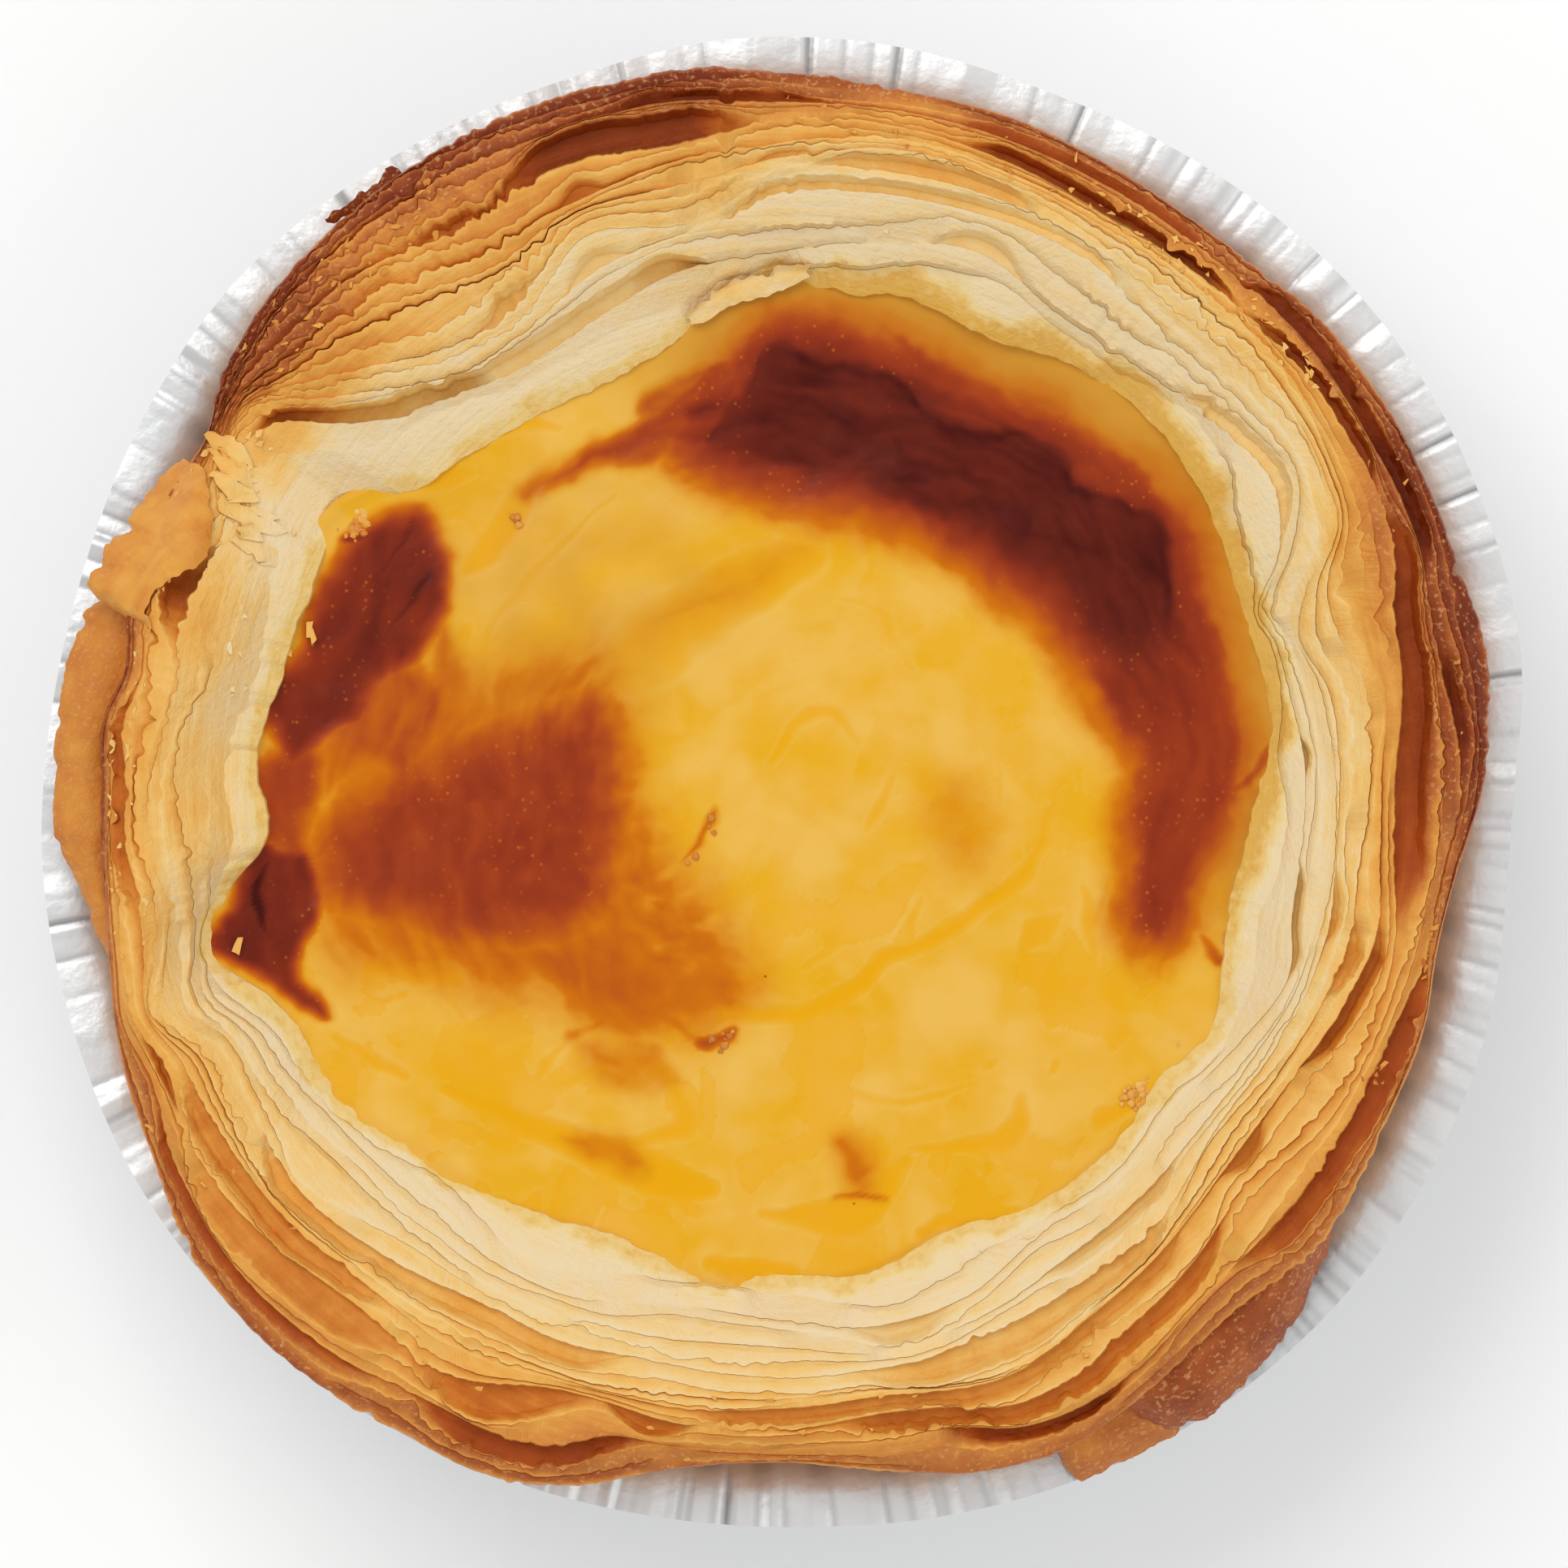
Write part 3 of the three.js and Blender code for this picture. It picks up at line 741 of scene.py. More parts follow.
# Where the skin is thin the custard shows a deeper yellow, in pools and swirls, given as the strokes are.
POOLS = [
    (1, 0.4, (0.2, 0.4, 0.5), [
        (14.2, -1.6), (13.6, -4), (12.2, -5.6), (7.4, -8.6), (5.4, -9.3), (3.4, -11.4), (0.6, -12.4),
        (-3.2, -12.3),
    ]),
    (0.9, 0.4, (0.1, 0.25, 0.1), [(7.4, -6.4), (6.8, -7.5), (6.8, -8.4)]),
    (0.9, 0.4, (0.2, 0.8, 0.1), [(12.9, -16.8), (12.6, -18.4), (11.4, -19.3), (6.8, -19.6)]),
    (0.8, 0.4, (0.15, 0.4, 0.1), [(16.1, -5.7), (16.4, -7.4), (16.7, -9.2)]),
    (0.8, 0.4, (0.2, 0.4, 0.1), [(17.6, -4.9), (17.6, -5.8), (17.9, -6.8)]),
    (0.7, 0.4, (0.2, 0.9, 0.1), [(14.8, -7.2), (13.6, -8), (12.7, -9.2)]),
    (0.9, 0.4, (0.3, 1.3, 0.2), [(6.6, -20.4), (3.6, -23.2), (-1.2, -23.1)]),
    (1, 0.4, (0.5, 0.35, 0.3), [(12.4, -23.2), (10.4, -23.7), (8.6, -23.5), (7.4, -24.2)]),
    (1, 0.4, (0.4, 0.7, 0.6), [(-4, -25.8), (-1.8, -26.3), (0.4, -26.6)]),
    (0.9, 0.4, (0.6, 0.5, 0.4), [(17.2, -18), (18.4, -17.4)]),
    (0.8, 0.4, (0.1, 0.35, 0.1), [(6, 0.2), (5.2, -1.2), (4.4, -2.6)]),
    (0.8, 0.4, (0.1, 0.45, 0.1), [(-0.5, 1.2), (0.8, 3.2), (2.5, 3.9), (4.1, 2.3)]),
    (0.6, 0.4, (0.1, 0.2, 0.1), [(3.4, 9.8), (5.3, 9.2), (5.8, 8), (7.1, 6.1)]),
    (0.5, 0.4, (0.1, 0.2, 0.1), [(11.6, 2), (11.8, 0.4), (11.6, -1.2)]),
    (0.5, 0.4, (0.1, 0.15, 0.1), [(15.4, 2.2), (15.9, 0.2), (15.8, -1.4)]),
    (1, 0.4, (0.5, 0.85, 0.2), [(-13.4, 16), (-15.8, 12.6), (-17.2, 11.2)]),
    (0.9, 0.4, (0.2, 0.5, 0.1), [(-15.2, 18.8), (-13.6, 19.3), (-12, 18.9)]),
    (0.9, 0.4, (0.2, 0.5, 0.1), [(-19, 15.8), (-18, 16.4), (-16.8, 16.6)]),
    (0.6, 0.4, (0.1, 0.3, 0.1), [(-16.2, 5.2), (-15.6, 8.6), (-12.4, 12.2), (-9, 15.6)]),
    (0.7, 0.4, (0.2, 0.5, 0.2), [(-18.8, 5.4), (-17.6, 7), (-16.8, 8.4)]),
    (0.9, 0.4, (0.2, 0.55, 0.4), [(-12.4, -16.3), (-7.6, -15), (-5.2, -18.2), (-8.4, -19.4)]),
    (1, 0.4, (0.2, 1.25, 0.4), [(-18.2, -16.4), (-7.6, -20.8), (-3.8, -21.8)]),
    (0.6, 0.4, (0.1, 0.2, 0.3), [(-18.3, -11), (-17.1, -12.8), (-16.5, -14.6), (-14.4, -17)]),
    (0.8, 0.4, (0.1, 0.3, 0.1), [(-11.8, -14), (-12.8, -15.2), (-13.6, -16.3)]),
    (0.9, 0.4, (0.2, 0.35, 0.2), [(-24.2, -13.6), (-22.4, -14.6), (-20.3, -15.7)]),
    (0.9, 0.4, (0.5, 0.7, 0.3), [(-22, -10), (-19.6, -10.2), (-17.4, -10.6)]),
    (0.7, 0.4, (0.1, 0.2, 0.1), [(2.8, -15.6), (3.6, -16.6), (6, -17.1), (9.6, -16.4)]),
    (0.6, 0.4, (0.1, 0.2, 0.1), [(4.8, -7.6), (3, -8.6), (1.2, -9.8)]),
    (0.9, 1.2, (1, 1.8, 0.8), [(1, 12.4), (-7, 7.4), (-9.4, 5.6)]),
]


def painted_over(level, x, y, strokes):
    """The level, or that of the strongest stroke over each point."""
    for line in strokes:
        level = np.maximum(level, stroke(x, y, *line))
    return level


def burnt_arc(x, y):
    """The big burnt arc: a soft browned band, and a darker core with a sharp scalloped front."""
    depth = inside(x, y, ARC_LIMIT)
    level = np.interp(depth, *zip(*ARC_PROFILE))
    front_x, front_y = np.array(ARC_FRONT[::-1]).T
    degrees = degrees_of(x, y)
    ahead = np.interp(degrees, degrees_of(front_x, front_y), np.hypot(front_x, front_y)) - np.hypot(x, y)
    ends = smooth(15, 32, degrees) * (1 - 0.6 * smooth(90, 106, degrees))
    core = smooth(-0.3, 0.3, ahead) * smooth(0.6, 2.2, depth) * (1 - smooth(3, 8, ahead)) * ends
    fold = np.exp(-(((ahead - 0.4 - 0.3 * noise(x, y, 2, 14)) / 0.35) ** 2))
    fold = np.maximum(fold, 0.5 * smooth(0.2, 0.7, noise(degrees / 9, ahead / 0.9, 1, 15)))
    level = np.minimum(level, np.interp(degrees, (8, 20, 32), (0.67, 0.78, 0.93)))
    level = np.where(ahead < 0, np.minimum(level, 0.85 - 0.13 * smooth(-0.4, -2.2, ahead)), level)
    return level + (0.9 + 0.07 * fold - level) * core


def swirl(x, y):
    """Turn and distance of the custard's drawn-out swirls, round a middle a little off centre."""
    return degrees_of(x + 1, y + 1), np.hypot(x + 1, y + 1) + 1.6 * noise(x, y, 6, 7)


def caramel(x, y):
    """How far the custard is browned at each point."""
    wx = x + 0.5 * noise(x, y, 3.4, 1) + 0.18 * noise(x, y, 0.9, 2)
    wy = y + 0.5 * noise(x, y, 3.4, 3) + 0.18 * noise(x, y, 0.9, 4)
    level = burnt_arc(wx, wy)
    for shape in BROWN_PATCHES:
        level = np.maximum(level, patch(wx, wy, *shape))
    level = painted_over(level, wx, wy, BROWN_STROKES)
    turn, away = swirl(wx, wy)
    brushed = noise(turn / 9, away / 1.1, 1, 13) + 0.5 * noise(turn / 5, away / 0.5, 1, 14)
    return level + 0.07 * brushed * smooth(0.12, 0.4, level)


def pooled(x, y):
    """How deep a yellow shows through the skin, below 0 where it is paler: swirls, a faint marbling, and a
    painted highlight round each pool.
    """
    wx = x + 0.25 * noise(x, y, 1.8, 5)
    wy = y + 0.25 * noise(x, y, 1.8, 6)
    level = painted_over(0, wx, wy, POOLS)
    drawn_x = x + 2.4 * noise(x, y, 6, 8)
    drawn_y = y + 2.4 * noise(x, y, 6, 10)
    marble = rough(drawn_x, drawn_y, 4.5, 9)
    strength = smooth(1, 8, np.hypot(x, y)) * (0.3 + 0.3 * smooth(4, -8, y))
    fold = np.exp(-(((marble - 0.14) / 0.025) ** 2))
    level = np.maximum(level, strength * np.maximum(0.8 * smooth(0.1, 0.18, marble), 1.2 * fold))
    # Painted highlight: a paler line round each pool's edge, where the raised skin would catch the light.
    skin_edge_highlight = smooth(0, 0.15, level) * (1 - smooth(0.15, 0.5, level))
    return level - 0.35 * smooth(0.05, 0.4, -marble) * (1 - level) - 0.4 * skin_edge_highlight


def ambered(x, y, degrees, to_edge):
    """How amber the custard is: along its edge, wider at the right, and at the upper left."""
    amber = np.clip(turn_between(degrees, 336, 120, 22) * (1 - smooth(2.5, 7, to_edge)), 0, 1)
    amber = np.maximum(amber, 0.2 * (1 - smooth(0.2, 1.2, to_edge)))
    upper_left = smooth(14, 4, np.hypot(x + 13, 1.3 * (y - 10))) * (0.7 + 0.6 * noise(x, y, 2.5, 25))
    return np.maximum(amber, np.clip(0.55 * upper_left, 0, 1))


def custard_relief(x, y, to_edge, brown, pool):
    """The custard's unevenness: drawn up at its edge, a little sunk in the pools and where it is burnt."""
    near = np.maximum(to_edge, 0)
    relief = 0.25 * np.exp(-near / 0.8) + 0.1 * rough(x, y, 1.6, 24) * np.exp(-near / 1.2)
    relief = relief + 0.14 * noise(x, y, 7, 21) + 0.03 * noise(x, y, 2.4, 22) - 0.04 * pool
    return relief - 0.05 * smooth(0.4, 1, brown) + 0.03 * smooth(0.5, 0.9, brown) * noise(x, y, 1.6, 23)


def custard():
    """The filling: a shallow dome on a square grid drawn into a round, painted at its points."""
    side = np.linspace(-1, 1, CUSTARD_GRID)
    u, v = np.meshgrid(side, side, indexing="ij")
    share_x = u * np.sqrt(1 - v * v / 2)
    share_y = v * np.sqrt(1 - u * u / 2)
    share = np.hypot(share_x, share_y)
    degrees = degrees_of(share_x, share_y) % 360
    limit = around(CUSTARD_EDGE, degrees) + 0.5
    x, y = polar(limit * share, degrees)
    to_edge = limit - 0.5 - limit * share
    brown = np.clip(caramel(x, y), 0, 1)
    pool = pooled(x, y)
    z = LIP_HEIGHT + CUSTARD_DOME * (1 - share**2) + custard_relief(x, y, to_edge, brown, pool)
    points = rows_of_three(x, y, z)
    quads, border = grid_faces(CUSTARD_GRID, CUSTARD_GRID)
    under = len(points) + np.arange(len(border))
    points = np.concatenate([points, points[border] * (0.97, 0.97, 1) - (0, 0, 2.5)])
    faces = [*quads, *skirt(border, under), under[::-1]]
    painted = {"caramel": brown, "pool": pool, "amber": ambered(x, y, degrees, to_edge)}
    painted = {key: np.append(values, np.ravel(values)[border]) for key, values in painted.items()}
    return build_mesh("custard_filling", points, faces, **painted)


# ---- loose leaves, flakes, crumbs


# Leaves that stand away from the rim. How baked each is, and how far it is lifted above the rim's surface,
# both at its inner and at its outer edge; how torn, how thick and how shaded it is; and then, along it, the
# angle and the inner and outer radius.
LEAVES = {
    "left_leaf": ((0.55, 0.62), (-2.4, -3.4), 0.13, 0.35, 0.35, [
        (164.5, 35.4, 37.6), (166, 35.6, 38.6), (169, 35.4, 38.9), (173, 36, 39.1), (177, 36.7, 39.25),
        (180, 36.4, 39.1), (183, 36.5, 39.35), (185, 36.6, 39), (187, 36.8, 38.5), (190, 36.9, 38),
        (194.5, 37, 37.3),
    ]),
    "tan_flap": ((0.46, 0.54), (0.4, -1), 0.22, 0.3, 0.2, [
        (151.5, 35.6, 36.6), (153, 34.6, 37.1), (155, 33.8, 37.3), (157, 33.2, 37.6), (158.5, 33.2, 38),
        (160, 33.7, 38.4), (161.5, 34.4, 38.7), (163, 34.9, 38.8), (164.3, 35.3, 38.7), (165.3, 35.4, 37.2),
        (166, 35, 36), (166.6, 34.8, 35.2),
    ]),
    "low_flap": ((0.62, 0.7), (-3.3, -5.4), 0.12, 0.3, 0.2, [
        (292.3, 37, 39.8), (293, 37, 40.8), (297, 37.2, 40.8), (301, 37.4, 40.9), (303, 37.6, 40.2),
    ]),
    "peeled_leaf": ((0.86, 0.84), (-0.6, -4), 0.2, 0.4, 1, [
        (299, 37.2, 39), (301, 36.9, 40.4), (303, 36.8, 40.9), (306, 36.6, 40.8), (309, 36.5, 40.5),
        (312, 36.5, 40.2), (315, 36.7, 39.7), (318, 36.7, 38.9), (320.5, 36.6, 38.2), (322, 36.4, 37.4),
    ]),
    "burnt_shard": ((0.95, 0.95), (-1.2, -1), 0.25, 0.3, 0.3, [
        (121.5, 37.6, 38), (122.6, 37.4, 39.2), (124.4, 37.6, 38.9), (126.5, 37.9, 38.9), (129.3, 38.7, 39),
    ]),
    "custard_flake": ((0.1, 0.16), (0.5, 0.9), 0.22, 0.2, 0.1, [
        (87, 27.2, 27.8), (90, 26.5, 27.8), (93.5, 26.1, 27.3), (97, 25.5, 26.9), (99.5, 25.2, 26.3),
        (101.5, 25.2, 25.6),
    ]),
}
# Distance between a leaf's points.
LEAF_STEP = 0.16
# Torn strips fanned across the pinch, from its middle towards the custard. How many; and where the first one
# starts and its two ends lie, each with what it changes by from one strip to the next.
STRIPS = 9
STRIP_ANGLE = (148.2, 0.95)
STRIP_INNER = (32.2, -0.42)
STRIP_OUTER = (36.5, -0.56)


def notch_strips():
    """The look of each strip of the fan: narrow, flat, uneven in length, and paler towards the custard."""
    rng = np.random.default_rng(5)
    for i in range(STRIPS):
        start = STRIP_ANGLE[0] + STRIP_ANGLE[1] * i + rng.uniform(-0.25, 0.25)
        inner = STRIP_INNER[0] + STRIP_INNER[1] * i + rng.uniform(-0.9, 0.9)
        outer = STRIP_OUTER[0] + STRIP_OUTER[1] * i + rng.uniform(-0.7, 0.4)
        lift = rng.uniform(0.1, 0.4)
        yield ((0.13 - 0.01 * i, 0.44 - 0.035 * i), (0.5 * lift, lift), 0.42, 0.12, 0, [
            (start, inner + 1.2, outer - 0.9), (start + 0.6, inner, outer),
            (start + 1.2, inner + 0.6, outer - 0.5), (start + 1.6, inner + 1.6, outer - 1.6),
        ], 0.02)


def torn_ends(stations, tear, degrees, seed):
    """Inner and outer radius of a leaf at each angle, with torn edges."""
    at, inner, outer = np.array(stations).T
    inner = np.interp(degrees, at, inner)
    outer = np.interp(degrees, at, outer)
    x, y = polar(outer, degrees)
    chips = np.maximum(noise(x, y, 1.3, seed + 1) - 0.2, 0)
    teeth = 1.3 * rough(x, y, 0.6, seed, 2) + noise(x, y, 2.2, seed + 6) - 4 * chips
    bites = rough(*polar(inner, degrees), 0.7, seed + 2, 2) + noise(x, y, 2, seed + 7)
    return inner + tear * bites, np.maximum(outer + tear * teeth, inner + 0.1)


def leaf(name, seed, bake, lift, tear, thick, shade, stations, arch=0.12):
    """A loose sheet with torn edges all round, arched by a share of its width, as a closed thin shell."""
    at, inner, outer = np.array(stations).T
    steps = int(math.radians(at[-1] - at[0]) * outer.mean() / LEAF_STEP)
    rows = max(10, int((outer - inner).mean() / LEAF_STEP))
    degrees = np.linspace(at[0], at[-1], steps)
    inner, outer = torn_ends(stations, tear, degrees, seed)
    share = np.linspace(0, 1, rows)[:, None]
    radii = inner + (outer - inner) * share
    sideways = rough(radii, 0 * radii, 0.7, seed + 8, 2) + noise(radii, 0 * radii, 2.4, seed + 9)
    degrees = degrees + np.degrees(tear * 1.5 * sideways / radii)
    px, py = polar(radii, degrees)
    lifted = lift[0] + (lift[1] - lift[0]) * share**2
    arched = arch * (outer - inner) * 4 * share * (1 - share)
    levels = edge_height(radii, degrees) + lifted + arched
    levels = levels + 0.12 * noise(px, py, 3.2, seed + 3) + 0.06 * rough(px, py, 0.9, seed + 4)
    top = rows_of_three(px, py, levels)
    quads, border = grid_faces(rows, steps)
    faces = np.concatenate([quads, quads[:, ::-1] + len(top), skirt(border, border + len(top))])
    baked = bake[0] + (bake[1] - bake[0]) * share + 0.1 * rough(px, py, 2.5, seed + 5)
    painted = {
        "bake": np.clip(baked, 0, 1),
        # Painted shade, strongest at the leaf's inner edge.
        "shade": shade * smooth(0.35, 0, share) * np.ones_like(px),
        "wet": np.zeros_like(px),
        "streak": rows_of_three(px / 3, py / 3, levels / 0.6),
    }
    painted = {key: np.tile(np.ravel(values), 2) for key, values in painted.items()}
    return build_mesh(name, np.concatenate([top, top - (0, 0, thick)]), faces.tolist(), **painted)


# Where flakes have come off the torn edges: from and to angle, inner and outer radius, number and bake.
FLAKES = [
    (36, 62, 34.6, 36.6, 46, 0.34), (62, 90, 34.5, 37.6, 18, 0.52), (118, 146, 34.5, 37.6, 42, 0.52),
    (146, 160, 32.5, 37, 34, 0.22), (160, 196, 34.5, 36.8, 34, 0.25), (200, 262, 35, 39.4, 12, 0.46),
    (262, 330, 33, 36.6, 12, 0.4), (330, 392, 34.5, 37.4, 34, 0.64), (150, 176, 28.6, 31, 16, 0.08),
    (255, 300, 26.9, 28.2, 14, 0.05), (70, 100, 27.4, 30.4, 14, 0.08),
]
# Crumbs in clusters: place, how far they spread, number and bake.
CRUMBS = [
    ((-3.9, -2.2), 0.5, 3, 0.62), ((-4.9, -3.9), 0.5, 3, 0.6), ((19, -16.9), 0.85, 34, 0.42),
    ((-23.2, 13.6), 0.8, 26, 0.5), ((-22.6, 14.5), 0.5, 14, 0.34), ((-14.4, 14.3), 0.3, 5, 0.5),
    ((-3.2, -13.7), 0.5, 8, 0.6), ((24, -8.6), 0.5, 10, 0.5),
]
# Chips of dough that lie on the custard: place and size.
CUSTARD_CHIPS = [(-29.3, -8.8, 0.675), (-25.4, 8.2, 0.825), (-26.6, 7, 0.9), (21.1, -14, 0.225)]


def custard_height(x, y):
    share = math.hypot(x, y) / around(CUSTARD_EDGE, np.array([degrees_of(x, y) % 360]))[0]
    return LIP_HEIGHT + CUSTARD_DOME * (1 - share**2)


def flake(rng, place, size, bake):
    """A thin chip with a ragged outline, tilted at random."""
    sides = int(rng.integers(5, 9))
    turns = np.sort(rng.uniform(0, 2 * math.pi, sides))
    reach = size * rng.uniform(0.35, 1, sides)
    ring = rows_of_three(reach * np.cos(turns), 0.5 * reach * np.sin(turns), 0)
    along = math.atan2(place[1], place[0]) + math.pi / 2 + rng.normal(0, 0.5)
    turn = np.array(Euler((*rng.normal(0, 0.3, 2), along)).to_matrix())
    middle = np.array([[0, 0, 0.05], [0, 0, -0.12]]) * size
    points = np.concatenate([ring, ring - (0, 0, 0.09), middle]) @ turn.T + place
    now = np.arange(sides)
    after = np.roll(now, -1)
    top = rows_of_three(now, after, 2 * sides)
    under = rows_of_three(after + sides, now + sides, 2 * sides + 1)
    side_a = rows_of_three(now, now + sides, after)
    side_b = rows_of_three(after, now + sides, after + sides)
    return chip(points, np.concatenate([top, under, side_a, side_b]), bake)


def loose_flakes():
    """Small chips of pastry on the rim's torn edges and on the custard."""
    rng = np.random.default_rng(7)
    outline = sheet_edge(-1, angles)
    flakes = []
    for start, end, inner, outer, count, bake in FLAKES:
        for _ in range(count):
            degrees = rng.uniform(start, end) % 360
            radius = min(rng.uniform(inner, outer), np.interp(degrees, angles, outline, period=360) - 0.4)
            height = edge_height(np.array([radius]), np.array([degrees]))[0]
            place = (*polar(radius, degrees), height + 0.05)
            flakes.append(flake(rng, place, rng.uniform(0.15, 0.5), bake + rng.normal(0, 0.06)))
    for x, y, size in CUSTARD_CHIPS:
        flakes.append(flake(rng, (x, y, custard_height(x, y) + 0.35), size, 0.33))
    return joined_mesh("pastry_flakes", flakes)


def crumbs():
    """Small rounded crumbs on the custard."""
    rng = np.random.default_rng(11)
    ball = bmesh.new()
    bmesh.ops.create_icosphere(ball, subdivisions=2, radius=1)
    unit = np.array([v.co[:] for v in ball.verts])
    faces = np.array([[v.index for v in face.verts] for face in ball.faces])
    ball.free()
    balls = []
    for (cx, cy), spread, count, bake in CRUMBS:
        for _ in range(count):
            x = cx + rng.normal(0, 0.5 * spread)
            y = cy + rng.normal(0, 0.5 * spread)
            size = rng.uniform(0.1, 0.26)
            lumps = rough(unit[:, 0] + 9 * x, unit[:, 1] + unit[:, 2] + 9 * y, 0.8, 61)
            points = unit * (1 + 0.5 * lumps[:, None]) * (size, size, 0.7 * size)
            points = points + (x, y, custard_height(x, y) + 0.3 * size)
            balls.append(chip(points, faces, bake + rng.normal(0, 0.06)))
    return joined_mesh("crumbs", balls)


# ---- the foil


# Where the foil's brim is creased more than elsewhere, from and to angle, and single sharp creases.
CREASED = [(34, 58), (95, 122), (128, 149), (153, 164), (200, 222), (238, 272), (275, 287), (303, 357)]
SINGLE_CREASES = [8.5, 23, 27.5, 66, 81, 88, 127, 191, 228, 265.5, 293]
# How dark the painted shade along each single crease is.
SINGLE_DARKNESS = 0.9
# The brim curls out from the neck and then lies flat: height of the plain cone, and of the brim there.
BRIM_PROFILE = [
    (0, 0), (17.9, 17.9), (18.1, 18.45), (18.3, 18.72), (18.5, 18.84), (18.75, 18.86), (19, 18.8),
]
FOIL_LEVELS = (0, 0.15, 0.8, 2.5, 6, 10, 14, 17.2, FOIL_BRIM_START, 18.1, 18.3, 18.5, 18.75, FOIL_RIM_HEIGHT)
FOIL_THICKNESS = 0.12
FOIL_PLEATS = 72


def creases():
    """The brim's height, in flat facets between radial folds, and how dark the painted shade along each
    fold's line is.
    """
    rng = np.random.default_rng(3)
    folds = [0]
    while folds[-1] < 359:
        crowded = any(start < folds[-1] < end for start, end in CREASED)
        folds.append(folds[-1] + (rng.uniform(0.5, 2) if crowded else rng.uniform(1.5, 4.5)))
    folds = np.array(folds[:-1])
    height = np.interp(angles, folds, rng.normal(0, 0.09, len(folds)), period=360)
    line = np.zeros(RING_STEPS)
    lines = [*zip(folds, rng.uniform(0, 0.4, len(folds))), *((at, SINGLE_DARKNESS) for at in SINGLE_CREASES)]
    for at, dark in lines:
        away = np.abs((angles - at + 180) % 360 - 180)
        line = np.maximum(line, dark * (1 - smooth(0.1, 0.45, away)))
    return height - 0.15 * line, line


def foil_cup():
    """A crimped cup of thin foil: a flared wall in fine pleats, and a creased brim with a plain cut edge."""
    fold, sharp = creases()
    wave = 1.5 * noise(*polar(40, angles), 9, 34)
    pleat = 0.3 * np.sin(np.radians(angles) * FOIL_PLEATS + wave)
    # Painted shade in the valleys of the wall's pleats.
    pleat_valley_shade = 0.25 + 0.6 * smooth(0.1, -0.3, pleat)
    outer_rows = []
    inner_rows = []
    for z in FOIL_LEVELS:
        foot = 1.4 * max(0, 1 - z / 1.4) ** 2
        on_wall = smooth(0, 6, z) * (1 - smooth(17, 18.2, z))
        on_brim = smooth(17.8, 18.6, z)
        radius = foil_radius(z) - foot + on_wall * pleat
        level = np.interp(z, *zip(*BRIM_PROFILE)) + on_brim * fold
        # Painted shade: along the brim's creases, and in the wall's pleat valleys.
        line = np.maximum(on_brim * sharp, (1 - on_brim) * pleat_valley_shade)
        outer_rows.append((radius, level, line))
        inset = FOIL_THICKNESS * (level[0] < 17.5)
        inner_rows.append((radius - inset, np.maximum(level, 0) + FOIL_THICKNESS, line))
    rows = [*outer_rows, *inner_rows[:0:-1], (1, FOIL_THICKNESS, 0), (1, 0, 0)]
    radii, levels, lines = ring_columns(rows)
    points = rows_of_three(*polar(radii, angles), levels)
    return build_mesh("foil_cup", points, ring_faces(len(rows)), crease=lines)


# ---- materials


def srgb(code):
    """A linear colour from a #rrggbb code."""
    parts = [int(code[i:i + 2], 16) / 255 for i in (1, 3, 5)]
    return [c / 12.92 if c < 0.04045 else ((c + 0.055) / 1.055) ** 2.4 for c in parts] + [1]


